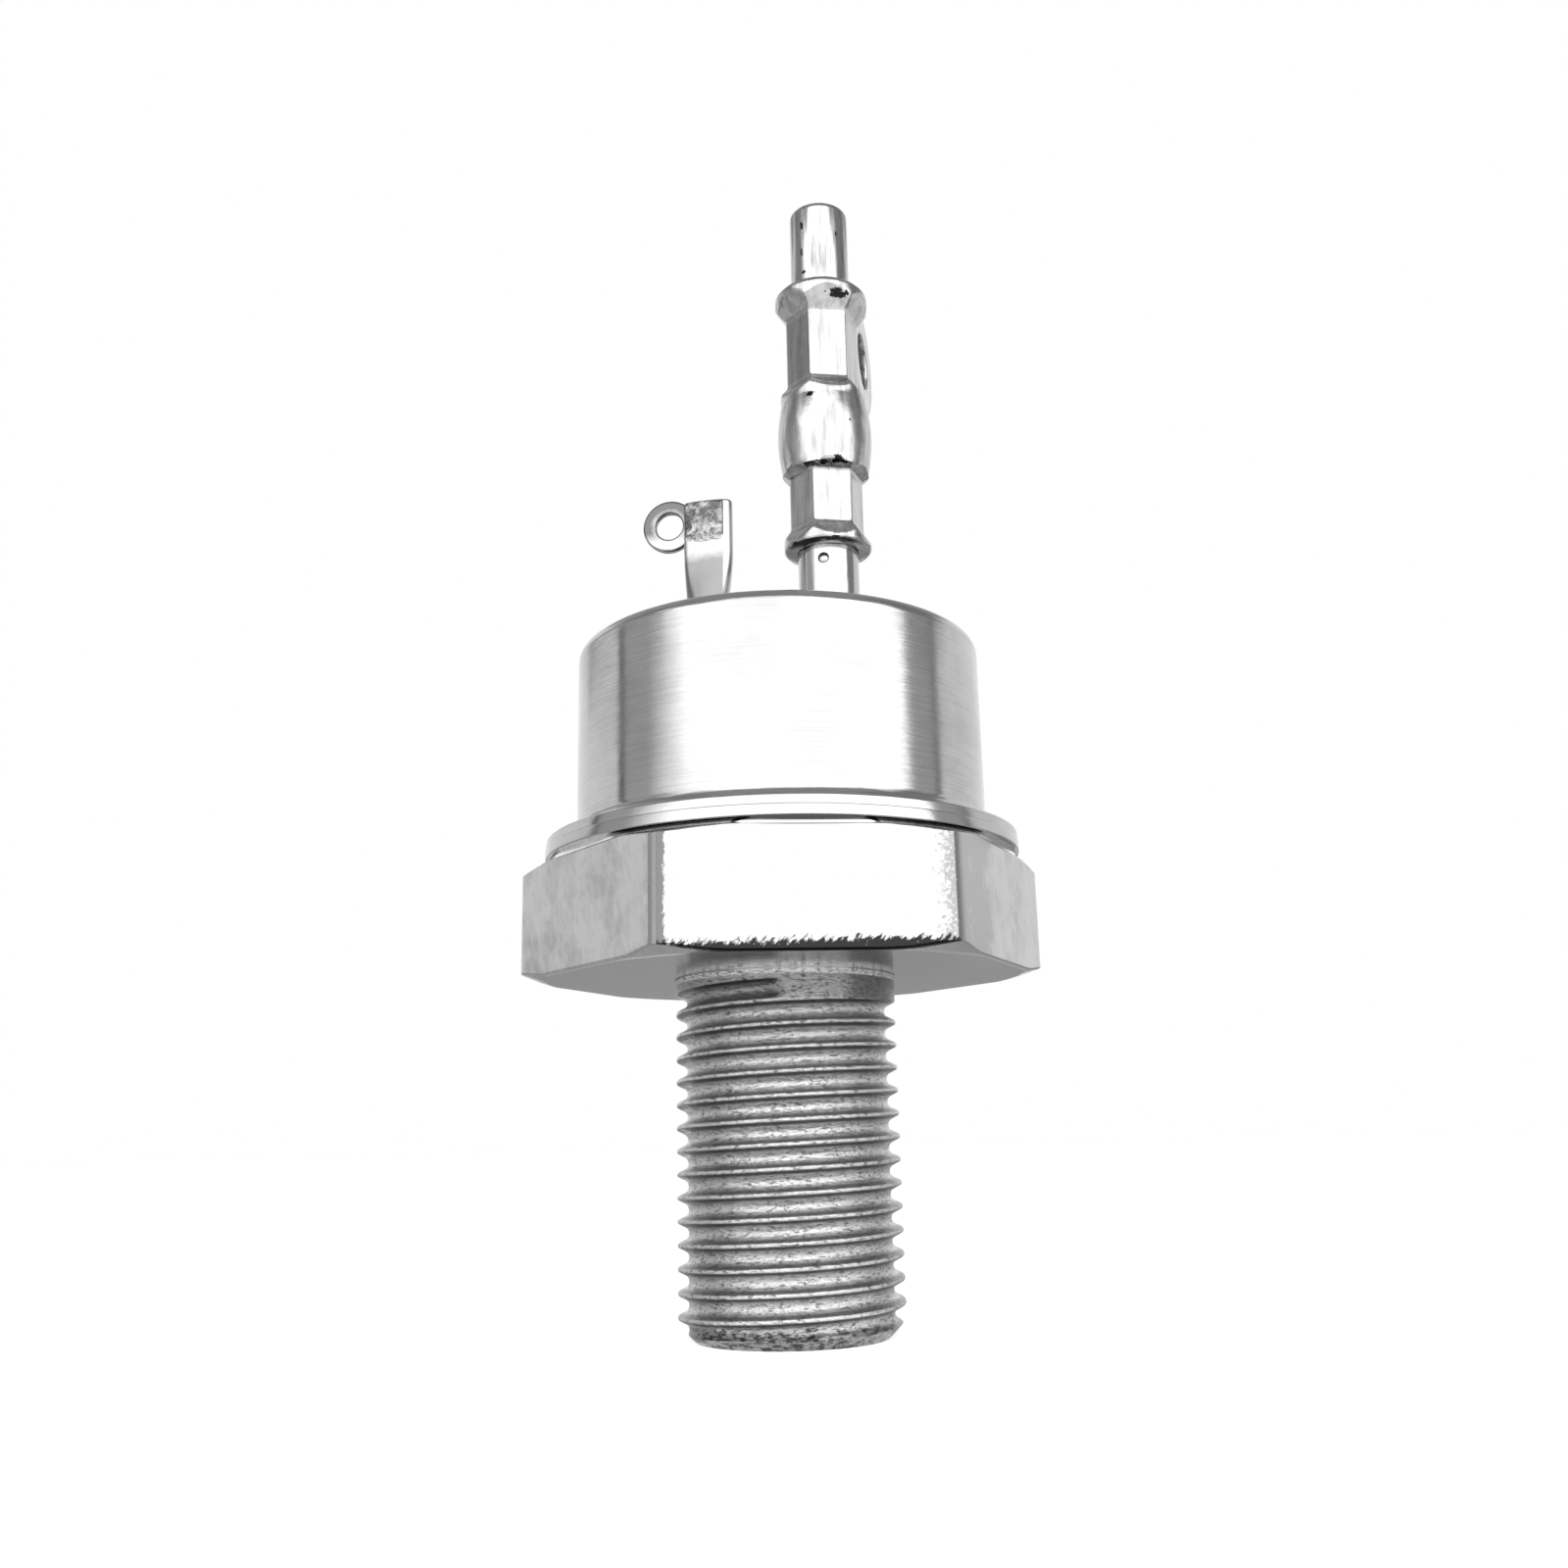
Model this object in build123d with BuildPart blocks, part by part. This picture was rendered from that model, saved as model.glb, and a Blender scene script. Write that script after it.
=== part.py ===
from build123d import *
import math
import os

# Stud thyristor: hexagon base with a threaded stud, welded cap, crimped cathode terminal, gate eye.
# Millimetres. Origin in the middle of the seating face under the hexagon, +Z towards the terminals.
# The terminals stand on the X axis, cathode at +X and gate at -X.

# Stud and hexagon
STUD_R = 6.33
STUD_LENGTH = 19.8
STUD_END_CHAMFER = 0.9
HEX_FLATS = 26.7
HEX_HEIGHT = 6.5
HEX_TURN = 5.0
HEX_CORNER_DROP = 0.5
HEX_CHAMFER_STEP = 0.55
WASHER_FACE_STEP = 0.05
WASHER_FACE_HEIGHT = 0.3

# Weld ring and cap, each a step or a gap away from its neighbour
WELD_RING_OVERHANG = 0.55
WELD_RING_GAP = 0.7
WELD_RING_HEIGHT = 0.6
WELD_RING_EDGE = 0.15
CAP_WALL = 0.6
CAP_FLANGE_STEP = 0.05
CAP_FLANGE_WIDTH = 1.78
CAP_FLANGE_HEIGHT = 0.55
CAP_FLANGE_EDGE = 0.25
CAP_FOOT_FILLET = 0.3
CAP_TOP_RADIUS = 0.7
CAP_SHOULDER = 4.27
CAP_HEADROOM = 1.25
CAP_LIP_RISE = 0.65
CAP_LIP_FILLET = 0.4

# Glass
GLASS_THICKNESS = 1.3
GLASS_DROP = 0.25
GLASS_RIM = 1.1
GLASS_RIM_RISE = 0.35
GLASS_COLLAR = 0.7
GLASS_COLLAR_RISE = 0.6

# Cathode terminal: the sleeve stands off the cap's top, and its crimps are set from its two ends
CATHODE_X = 3.3
CATHODE_TUBE_R = 1.875
CATHODE_TUBE_WALL = 0.5
CATHODE_TUBE_STANDOUT = 6.05
CATHODE_TUBE_EDGE = 0.45
VENT_R = 0.35
VENT_DROP = 0.95
VENT_TURN = -12.0
SLEEVE_STANDOFF = 6.6
SLEEVE_LENGTH = 17.7
SLEEVE_FIT = 0.03
SLEEVE_WALL = 1.065
SLEEVE_SWELL = 0.25
SLEEVE_FOOT_CHAMFER = 0.15
SLEEVE_TOP_LAND = 0.8
SLEEVE_TOP_CONE = 0.3
CRIMP_TURN = 8.3
CRIMP_DEPTH = 0.95
CRIMP_WALL = 0.72
LOWER_CRIMP_RISE = 1.4
LOWER_CRIMP_LENGTH = 3.5
LOWER_FLARE_BELOW = 1.35
LOWER_FLARE_ABOVE = 0.4
UPPER_CRIMP_DROP = 1.95
UPPER_CRIMP_LENGTH = 4.6
UPPER_FLARE_BELOW = 1.2
UPPER_FLARE_ABOVE = 1.3
FLAG_TURN = 13.0
FLAG_SET_IN = 1.07
FLAG_THICKNESS = 0.9
FLAG_EYE_DROP = 2.05
FLAG_EYE_R = 1.85
FLAG_EYE_GAP = 0.08
FLAG_RIM = 1.85
FLAG_NECK = 4.0
FLAG_EDGE = 0.15

# Gate terminal: heights above the cap's top
GATE_X = -4.25
GATE_TURN = 12.0
GATE_TUBE_R = 1.2
GATE_TUBE_WALL = 0.3
GATE_ROUND_LENGTH = 1.75
GATE_NECK_LENGTH = 5.1
GATE_FLAT_LENGTH = 3.3
GATE_FLAT_SPREAD = 0.7
GATE_FLAT_SQUEEZE = 1.25
GATE_FLAT_SHIFT = 0.1
GATE_EYE_DROP = 1.0
GATE_EYE_R = 0.87
GATE_EYE_GAP = 0.3
GATE_EYE_RIM = 0.85
GATE_LUG_THICKNESS = 0.55
GATE_LUG_EDGE = 0.18
GATE_TONGUE_WIDTH = 1.7
GATE_TONGUE_REACH = 1.0

# Clamped stack on the base's pedestal
PEDESTAL_GAP = 0.45
PEDESTAL_HEIGHT = 1.2
COLLAR_GAP = 0.87
COLLAR_WALL = 1.35
COLLAR_SINK = 0.6
COLLAR_RIM = 0.75
FOIL = 0.1
ANODE_DISC_STEP = 0.2
ANODE_DISC = 1.5
PELLET_STEP = 0.4
PELLET = 0.4
PELLET_BEVEL = 0.5
COATING_LAP = 0.45
COATING_RISE = 0.5
CATHODE_DISC_STEP = 0.6
CATHODE_DISC_BORE_R = 1.6
CATHODE_DISC = 1.0
POLE_FLANGE_LAP = 0.2
POLE_FLANGE = 1.2
POLE_LENGTH = 6.3
POLE_WALL = 0.35
POLE_BORE_R = 1.45
BUSH_FIT = 0.1
BUSH_WALL = 0.6
BUSH_FLANGE = 0.8
BUSH_FLANGE_STEP = 0.3
BUSH_HEIGHT = 4.7
SPRING_COUNT = 3
SPRING_THICKNESS = 0.6
SPRING_RISE = 0.35
SPRING_GAP = 0.25
SPRING_FIT = 0.2
THRUST_WASHER = 0.9
SNAP_RING = 1.0
SNAP_RING_LAP = 1.4
SNAP_GROOVE_DEPTH = 0.6
SNAP_FIT = 0.04
SNAP_GAP = 40.0

# Gate contact and leads
PIN_R = 0.45
PIN_LENGTH = 3.0
PIN_HEAD_R = 0.75
PIN_HEAD = 0.6
PIN_STUB = 0.6
GUIDE_FIT = 0.05
GUIDE_BASE = 1.1
PLUG_HEIGHT = 0.8
COIL_WIRE_R = 0.1
COIL_TURNS = 4
LEAD_PLAY = 0.275
LEAD_FIT = 0.05
LEAD_SOCKET = 3.0
LEAD_END_DROP = 1.4
LEAD_CRIMP_FIT = 0.02
GATE_WIRE_R = 0.25
GATE_WIRE_BEND = 0.55
GATE_WIRE_END = 0.5
GATE_SLEEVE_R = 0.42
GATE_SLEEVE_FIT = 0.03

# Radii worked out from the hexagon inwards
HEX_INNER_R = HEX_FLATS / 2
HEX_CHAMFER_R = HEX_INNER_R + HEX_CHAMFER_STEP
WASHER_FACE_R = HEX_INNER_R - WASHER_FACE_STEP
WELD_RING_R = HEX_INNER_R + WELD_RING_OVERHANG
CAP_FLANGE_R = WELD_RING_R - CAP_FLANGE_STEP
CAP_R = CAP_FLANGE_R - CAP_FLANGE_WIDTH
CAP_BORE_R = CAP_R - CAP_WALL
CAP_LIP_BORE_R = CAP_R - CAP_SHOULDER
COLLAR_R = CAP_BORE_R - COLLAR_GAP
WELD_RING_BORE_R = COLLAR_R + WELD_RING_GAP
COLLAR_BORE_R = COLLAR_R - COLLAR_WALL
SNAP_GROOVE_R = COLLAR_BORE_R + SNAP_GROOVE_DEPTH
PEDESTAL_R = COLLAR_BORE_R - PEDESTAL_GAP
ANODE_DISC_R = PEDESTAL_R - ANODE_DISC_STEP
PELLET_R = ANODE_DISC_R - PELLET_STEP
CATHODE_DISC_R = PELLET_R - PELLET_BEVEL - CATHODE_DISC_STEP
POLE_FLANGE_R = CATHODE_DISC_R + POLE_FLANGE_LAP
SPRING_R = COLLAR_BORE_R - SPRING_GAP
BUSH_FLANGE_R = SPRING_R - BUSH_FLANGE_STEP
SNAP_RING_BORE_R = SPRING_R - SNAP_RING_LAP

# Radii worked out from the cathode tube, outwards and inwards
SLEEVE_BORE_R = CATHODE_TUBE_R + SLEEVE_FIT
SLEEVE_R = SLEEVE_BORE_R + SLEEVE_WALL
SLEEVE_FOOT_R = SLEEVE_R - SLEEVE_SWELL
SLEEVE_TOP_R = SLEEVE_BORE_R + SLEEVE_TOP_LAND
CRIMP_FLAT_R = SLEEVE_R - CRIMP_DEPTH
CRIMP_BORE_FLAT_R = CRIMP_FLAT_R - CRIMP_WALL
TUBE_BORE_R = CATHODE_TUBE_R - CATHODE_TUBE_WALL
TUBE_CRIMP_FLAT_R = CRIMP_BORE_FLAT_R - SLEEVE_FIT
TUBE_CRIMP_BORE_FLAT_R = TUBE_CRIMP_FLAT_R - CATHODE_TUBE_WALL
LEAD_R = TUBE_BORE_R - LEAD_PLAY
LEAD_CRIMP_FLAT_R = TUBE_CRIMP_BORE_FLAT_R - LEAD_CRIMP_FIT
POLE_R = CATHODE_X + LEAD_R + LEAD_FIT + POLE_WALL
BUSH_BORE_R = POLE_R + BUSH_FIT
BUSH_R = BUSH_BORE_R + BUSH_WALL
SPRING_BORE_R = BUSH_R + SPRING_FIT
GUIDE_R = POLE_BORE_R - GUIDE_FIT
GUIDE_BORE_R = PIN_HEAD_R + GUIDE_FIT
FLAG_FACE = SLEEVE_R - FLAG_SET_IN
FLAG_REACH = SLEEVE_R + FLAG_EYE_R + FLAG_EYE_GAP
FLAG_R = FLAG_EYE_R + FLAG_RIM
GATE_FLAT_WIDTH = 2 * GATE_TUBE_R + GATE_FLAT_SPREAD
GATE_FLAT_THICKNESS = 2 * GATE_TUBE_R - GATE_FLAT_SQUEEZE
GATE_EYE_REACH = GATE_FLAT_WIDTH / 2 + GATE_EYE_R + GATE_EYE_GAP
GATE_EYE_OUTER_R = GATE_EYE_R + GATE_EYE_RIM

# Heights worked out from the base upwards
WASHER_FACE_Z = HEX_HEIGHT + WASHER_FACE_HEIGHT
CAP_FOOT_Z = WASHER_FACE_Z + WELD_RING_HEIGHT
COLLAR_FOOT_Z = WASHER_FACE_Z - COLLAR_SINK
PEDESTAL_Z = WASHER_FACE_Z + PEDESTAL_HEIGHT
ANODE_Z = PEDESTAL_Z + FOIL
PELLET_Z = ANODE_Z + ANODE_DISC
PELLET_TOP_Z = PELLET_Z + PELLET
CATHODE_Z = PELLET_TOP_Z + FOIL
POLE_Z = CATHODE_Z + CATHODE_DISC
POLE_TOP = POLE_Z + POLE_LENGTH
BUSH_Z = POLE_Z + POLE_FLANGE
THRUST_Z = BUSH_Z + BUSH_FLANGE
SPRING_Z = THRUST_Z + THRUST_WASHER
SNAP_Z = SPRING_Z + SPRING_COUNT * SPRING_THICKNESS + SPRING_RISE
COLLAR_TOP_Z = SNAP_Z + SNAP_RING + COLLAR_RIM
CAP_CEILING_Z = COLLAR_TOP_Z + CAP_HEADROOM
CAP_TOP_Z = CAP_CEILING_Z + CAP_WALL
LIP_TOP_Z = CAP_TOP_Z + CAP_LIP_RISE
GLASS_Z = CAP_CEILING_Z - GLASS_DROP
PIN_HEAD_Z = PELLET_TOP_Z + PIN_LENGTH
PIN_TOP_Z = PIN_HEAD_Z + PIN_HEAD + PIN_STUB
PLUG_Z = POLE_TOP - PLUG_HEIGHT
SLEEVE_BOTTOM = CAP_TOP_Z + SLEEVE_STANDOFF
SLEEVE_TOP = SLEEVE_BOTTOM + SLEEVE_LENGTH
VENT_Z = SLEEVE_BOTTOM - VENT_DROP
FLAG_EYE_Z = SLEEVE_TOP - FLAG_EYE_DROP
CATHODE_TUBE_TOP = SLEEVE_TOP + CATHODE_TUBE_STANDOUT
LEAD_TOP = CATHODE_TUBE_TOP - LEAD_END_DROP
LOWER_CRIMP_Z = SLEEVE_BOTTOM + LOWER_CRIMP_RISE
LOWER_CRIMP_TOP = LOWER_CRIMP_Z + LOWER_CRIMP_LENGTH
UPPER_CRIMP_TOP = SLEEVE_TOP - UPPER_CRIMP_DROP
UPPER_CRIMP_Z = UPPER_CRIMP_TOP - UPPER_CRIMP_LENGTH
GATE_ROUND_TOP = CAP_TOP_Z + GATE_ROUND_LENGTH
GATE_FLAT_BOTTOM = GATE_ROUND_TOP + GATE_NECK_LENGTH
GATE_TUBE_TOP = GATE_FLAT_BOTTOM + GATE_FLAT_LENGTH
GATE_EYE_Z = GATE_TUBE_TOP - GATE_EYE_DROP
GATE_WIRE_Z = (POLE_TOP + GLASS_Z) / 2
GATE_WIRE_TOP = GATE_ROUND_TOP + GATE_WIRE_END
CRIMPS = (
    (LOWER_CRIMP_Z, LOWER_CRIMP_TOP, LOWER_FLARE_BELOW, LOWER_FLARE_ABOVE),
    (UPPER_CRIMP_Z, UPPER_CRIMP_TOP, UPPER_FLARE_BELOW, UPPER_FLARE_ABOVE),
)

CATHODE_AXIS = Axis((CATHODE_X, 0, 0), (0, 0, 1))
CATHODE_SECTION = Plane(origin=(CATHODE_X, 0, 0), x_dir=(1, 0, 0), z_dir=(0, -1, 0))

os.makedirs("parts", exist_ok=True)


def outline(*corners, radii=None):
    """Face inside a closed outline, with each corner rounded by its own radius."""
    with BuildLine() as edge_line:
        if radii is None:
            Polyline(*corners, close=True)
        else:
            FilletPolyline(*corners, radius=radii, close=True)
    make_face(edge_line.edges())


def ring(outer_r, bore_r, bottom, height):
    """Flat ring or disc round the Z axis, as one extrusion."""
    with BuildSketch(Plane.XY.offset(bottom)) as level:
        Circle(outer_r)
        if bore_r > 0:
            Circle(bore_r, mode=Mode.SUBTRACT)
    extrude(level.sketch, amount=height)


def cathode_level(height):
    """Level plane on the cathode terminal's axis."""
    return Plane(origin=(CATHODE_X, 0, height))


def crimped_round(round_r, flat_r, bottom, top):
    """Round bar on the cathode axis, squeezed to a hexagon by both crimps."""
    cuts = [crimp_cut(round_r, flat_r, *crimp) for crimp in CRIMPS]
    with BuildPart() as bar:
        with BuildSketch(cathode_level(bottom)):
            Circle(round_r)
        extrude(amount=top - bottom)
        for cut in cuts:
            add(cut, mode=Mode.SUBTRACT)
    return bar.part


def crimp_cut(round_r, flat_r, low, high, run_below, run_above):
    """What the dies take from a round: flats from low to high, flaring back over each run."""
    blend_r = round_r * 1.02
    sections = (
        (low - run_below, blend_r),
        (low, flat_r),
        (high, flat_r),
        (high + run_above, blend_r),
    )
    with BuildPart() as cut:
        with BuildSketch(cathode_level(low - run_below)):
            Circle(round_r * 1.5)
        extrude(amount=high + run_above - low + run_below)
        for height, section_r in sections:
            with BuildSketch(cathode_level(height)):
                RegularPolygon(section_r, 6, major_radius=False, rotation=CRIMP_TURN)
        loft(ruled=True, mode=Mode.SUBTRACT)
    return cut.part


# Base: hexagon, washer face, pedestal and stud turned from one copper bar, hexagon corners chamfered
with BuildPart() as stud_base:
    with BuildSketch():
        RegularPolygon(HEX_INNER_R, 6, major_radius=False, rotation=HEX_TURN)
    extrude(amount=HEX_HEIGHT)
    with BuildSketch(Plane.XZ):
        corner_r = HEX_INNER_R / math.cos(math.radians(30))
        outline(
            (0, 0),
            (HEX_CHAMFER_R, 0),
            (corner_r, HEX_CORNER_DROP),
            (corner_r, HEX_HEIGHT - HEX_CORNER_DROP),
            (HEX_CHAMFER_R, HEX_HEIGHT),
            (0, HEX_HEIGHT),
        )
    revolve(axis=Axis.Z, mode=Mode.INTERSECT)
    with BuildSketch(Plane.XZ):
        outline(
            (0, -STUD_LENGTH),
            (STUD_R - STUD_END_CHAMFER, -STUD_LENGTH),
            (STUD_R, STUD_END_CHAMFER - STUD_LENGTH),
            (STUD_R, 0),
            (STUD_R, HEX_HEIGHT),
            (WASHER_FACE_R, HEX_HEIGHT),
            (WASHER_FACE_R, WASHER_FACE_Z),
            (PEDESTAL_R, WASHER_FACE_Z),
            (PEDESTAL_R, PEDESTAL_Z),
            (0, PEDESTAL_Z),
        )
    revolve(axis=Axis.Z)
    with BuildSketch(Plane.XY.offset(COLLAR_FOOT_Z)):
        Circle(COLLAR_R)
        Circle(COLLAR_BORE_R, mode=Mode.SUBTRACT)
    extrude(amount=COLLAR_SINK, mode=Mode.SUBTRACT)
stud_base.part.label = "stud_base"

# Steel ring brazed on the washer face, to which the cap is welded
with BuildPart() as weld_ring:
    with BuildSketch(Plane.XZ):
        outline(
            (WELD_RING_BORE_R, WASHER_FACE_Z),
            (WELD_RING_R, WASHER_FACE_Z),
            (WELD_RING_R, CAP_FOOT_Z),
            (WELD_RING_BORE_R, CAP_FOOT_Z),
            radii=[0, WELD_RING_EDGE, WELD_RING_EDGE, 0],
        )
    revolve(axis=Axis.Z)
weld_ring.part.label = "weld_ring"

# Drawn steel cap: weld flange at its foot, rounded shoulder, lip turned up round the glass
with BuildPart() as cap_shell:
    flange_top = CAP_FOOT_Z + CAP_FLANGE_HEIGHT
    lip_r = CAP_LIP_BORE_R + CAP_WALL
    with BuildSketch(Plane.XZ):
        outline(
            (CAP_BORE_R, CAP_FOOT_Z),
            (CAP_FLANGE_R, CAP_FOOT_Z),
            (CAP_FLANGE_R, flange_top),
            (CAP_R, flange_top),
            (CAP_R, CAP_TOP_Z),
            (lip_r, CAP_TOP_Z),
            (lip_r, LIP_TOP_Z),
            (CAP_LIP_BORE_R, LIP_TOP_Z),
            (CAP_LIP_BORE_R, CAP_CEILING_Z),
            (CAP_BORE_R, CAP_CEILING_Z),
            radii=[
                0,
                0,
                CAP_FLANGE_EDGE,
                CAP_FOOT_FILLET,
                CAP_TOP_RADIUS,
                CAP_LIP_FILLET,
                CAP_WALL * 0.3,
                CAP_WALL * 0.3,
                CAP_WALL * 0.5,
                CAP_TOP_RADIUS - CAP_WALL,
            ],
        )
    revolve(axis=Axis.Z)
cap_shell.part.label = "cap_shell"

# Glass melted into the lip, dished on top and drawn up round both tubes
with BuildPart() as glass_seal:
    glass_top = GLASS_Z + GLASS_THICKNESS
    rim_foot_r = CAP_LIP_BORE_R - GLASS_RIM
    with BuildSketch(Plane.XZ):
        with BuildLine():
            Polyline(
                (rim_foot_r, glass_top),
                (0, glass_top),
                (0, GLASS_Z),
                (CAP_LIP_BORE_R - CAP_WALL, GLASS_Z),
                (CAP_LIP_BORE_R, GLASS_Z + CAP_WALL),
                (CAP_LIP_BORE_R, glass_top + GLASS_RIM_RISE),
            )
            TangentArc(
                (rim_foot_r, glass_top),
                (CAP_LIP_BORE_R, glass_top + GLASS_RIM_RISE),
                tangent=(1, 0),
            )
        make_face()
    revolve(axis=Axis.Z)
    tubes = ((CATHODE_X, CATHODE_TUBE_R), (GATE_X, GATE_TUBE_R))
    for tube_x, tube_r in tubes:
        with Locations((tube_x, 0, glass_top + GLASS_COLLAR_RISE / 2)):
            Cone(tube_r + GLASS_COLLAR, tube_r + GLASS_COLLAR / 5, GLASS_COLLAR_RISE)
    for tube_x, tube_r in tubes:
        with Locations((tube_x, 0, GLASS_Z)):
            Cylinder(tube_r, 2 * (GLASS_THICKNESS + GLASS_COLLAR_RISE), mode=Mode.SUBTRACT)
glass_seal.part.label = "glass_seal"

# Cathode tube: steel tube through the glass, squeezed with the sleeve, solder hole near its foot
tube_bore = crimped_round(TUBE_BORE_R, TUBE_CRIMP_BORE_FLAT_R, GLASS_Z, CATHODE_TUBE_TOP)
tube_round = crimped_round(CATHODE_TUBE_R, TUBE_CRIMP_FLAT_R, GLASS_Z, CATHODE_TUBE_TOP)
with BuildPart() as cathode_tube:
    add(tube_round)
    fillet(cathode_tube.edges().group_by(Axis.Z)[-1], CATHODE_TUBE_EDGE)
    add(tube_bore, mode=Mode.SUBTRACT)
    vent_side = math.radians(VENT_TURN)
    vent_out = (math.sin(vent_side), -math.cos(vent_side), 0)
    with BuildSketch(Plane(origin=(CATHODE_X, 0, VENT_Z), x_dir=(0, 0, 1), z_dir=vent_out)):
        Circle(VENT_R)
    extrude(amount=CATHODE_TUBE_R * 1.5, mode=Mode.SUBTRACT)
cathode_tube.part.label = "cathode_tube"

# Cathode lug: thick sleeve with a chamfered top and a swelled middle, crimped twice, flag behind it
sleeve_bore = crimped_round(
    SLEEVE_BORE_R, CRIMP_BORE_FLAT_R, SLEEVE_BOTTOM - SLEEVE_R, SLEEVE_TOP + SLEEVE_R
)
sleeve_cuts = [crimp_cut(SLEEVE_R, CRIMP_FLAT_R, *crimp) for crimp in CRIMPS]
flag_turn = math.radians(FLAG_TURN)
flag_along = Vector(math.sin(flag_turn), math.cos(flag_turn), 0)
flag_out = Vector(math.cos(flag_turn), -math.sin(flag_turn), 0)
flag_back = Vector(CATHODE_X, 0, 0) + flag_out * (FLAG_FACE - FLAG_THICKNESS)
with BuildPart() as flag:
    with BuildSketch(Plane(origin=flag_back, x_dir=flag_along, z_dir=flag_out)):
        with Locations((FLAG_REACH, FLAG_EYE_Z)):
            Circle(FLAG_R)
        with Locations((FLAG_REACH / 2, FLAG_EYE_Z)):
            Rectangle(FLAG_REACH, FLAG_NECK)
        with Locations((FLAG_REACH, FLAG_EYE_Z)):
            Circle(FLAG_EYE_R, mode=Mode.SUBTRACT)
    extrude(amount=FLAG_THICKNESS)
    rounds = flag.edges().filter_by(GeomType.CIRCLE)
    fillet([edge for edge in rounds if edge.radius > FLAG_EYE_R + FLAG_EDGE], FLAG_EDGE)
with BuildPart() as cathode_lug:
    swell_bottom = LOWER_CRIMP_TOP + LOWER_FLARE_ABOVE
    swell_top = UPPER_CRIMP_Z - UPPER_FLARE_BELOW
    cone_foot = SLEEVE_TOP - SLEEVE_TOP_CONE
    with BuildSketch(CATHODE_SECTION):
        with BuildLine():
            Polyline(
                (0, SLEEVE_BOTTOM),
                (SLEEVE_FOOT_R - SLEEVE_FOOT_CHAMFER, SLEEVE_BOTTOM),
                (SLEEVE_FOOT_R, SLEEVE_BOTTOM + SLEEVE_FOOT_CHAMFER),
                (SLEEVE_FOOT_R, LOWER_CRIMP_Z),
                (SLEEVE_FOOT_R, swell_bottom),
            )
            ThreePointArc(
                (SLEEVE_FOOT_R, swell_bottom),
                (SLEEVE_R, (swell_bottom + swell_top) / 2),
                (SLEEVE_FOOT_R, swell_top),
            )
            Polyline(
                (SLEEVE_FOOT_R, swell_top),
                (SLEEVE_R, UPPER_CRIMP_TOP),
                (SLEEVE_R, cone_foot),
                (SLEEVE_TOP_R, SLEEVE_TOP),
                (0, SLEEVE_TOP),
                (0, SLEEVE_BOTTOM),
            )
        make_face()
    revolve(axis=CATHODE_AXIS)
    for sleeve_cut in sleeve_cuts:
        add(sleeve_cut, mode=Mode.SUBTRACT)
    add(flag.part)
    add(sleeve_bore, mode=Mode.SUBTRACT)
cathode_lug.part.label = "cathode_lug"

# Gate tube: round through the glass, flattened above
gate_turn = math.radians(GATE_TURN)
gate_side = Vector(math.cos(gate_turn), -math.sin(gate_turn), 0)
gate_front = Vector(-math.sin(gate_turn), -math.cos(gate_turn), 0)
gate_top_mid = Vector(GATE_X, 0, 0) + gate_side * GATE_FLAT_SHIFT


def gate_level(middle, height):
    """Level plane of the gate tube, turned with its flat."""
    return Plane(origin=middle + Vector(0, 0, height), x_dir=gate_side, z_dir=(0, 0, 1))


with BuildPart() as gate_tube:
    gate_foot_mid = Vector(GATE_X, 0, 0)
    for inset, mode in ((0, Mode.ADD), (GATE_TUBE_WALL, Mode.SUBTRACT)):
        with BuildSketch(gate_level(gate_foot_mid, GLASS_Z)):
            Circle(GATE_TUBE_R - inset)
        extrude(amount=GATE_ROUND_TOP - GLASS_Z, mode=mode)
        with BuildSketch(gate_level(gate_foot_mid, GATE_ROUND_TOP)):
            Circle(GATE_TUBE_R - inset)
        with BuildSketch(gate_level(gate_top_mid, GATE_FLAT_BOTTOM)):
            SlotOverall(GATE_FLAT_WIDTH - 2 * inset, GATE_FLAT_THICKNESS - 2 * inset)
        loft(mode=mode)
        with BuildSketch(gate_level(gate_top_mid, GATE_FLAT_BOTTOM)):
            SlotOverall(GATE_FLAT_WIDTH - 2 * inset, GATE_FLAT_THICKNESS - 2 * inset)
        extrude(amount=GATE_TUBE_TOP - GATE_FLAT_BOTTOM, mode=mode)
gate_tube.part.label = "gate_tube"

# Gate lug: stamped eye whose tongue is welded to the back of the flattened tube
with BuildPart() as gate_lug:
    lug_front = gate_top_mid - gate_front * (GATE_FLAT_THICKNESS / 2)
    with BuildSketch(Plane(origin=lug_front, x_dir=gate_side, z_dir=-gate_front)):
        with Locations((-GATE_EYE_REACH, -GATE_EYE_Z)):
            Circle(GATE_EYE_OUTER_R)
        with Locations(((GATE_TONGUE_REACH - GATE_EYE_REACH) / 2, -GATE_EYE_Z)):
            Rectangle(GATE_TONGUE_REACH + GATE_EYE_REACH, GATE_TONGUE_WIDTH)
        with Locations((-GATE_EYE_REACH, -GATE_EYE_Z)):
            Circle(GATE_EYE_R, mode=Mode.SUBTRACT)
    extrude(amount=GATE_LUG_THICKNESS)
    fillet(gate_lug.edges().filter_by(GeomType.CIRCLE), GATE_LUG_EDGE)
gate_lug.part.label = "gate_lug"

# Steel collar brazed into the base, grooved inside for the snap ring
with BuildPart() as spring_collar:
    ring(COLLAR_R, COLLAR_BORE_R, COLLAR_FOOT_Z, COLLAR_TOP_Z - COLLAR_FOOT_Z)
    with BuildSketch(Plane.XY.offset(SNAP_Z - SNAP_FIT)):
        Circle(SNAP_GROOVE_R)
    extrude(amount=SNAP_RING + 2 * SNAP_FIT, mode=Mode.SUBTRACT)
spring_collar.part.label = "spring_collar"

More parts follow.
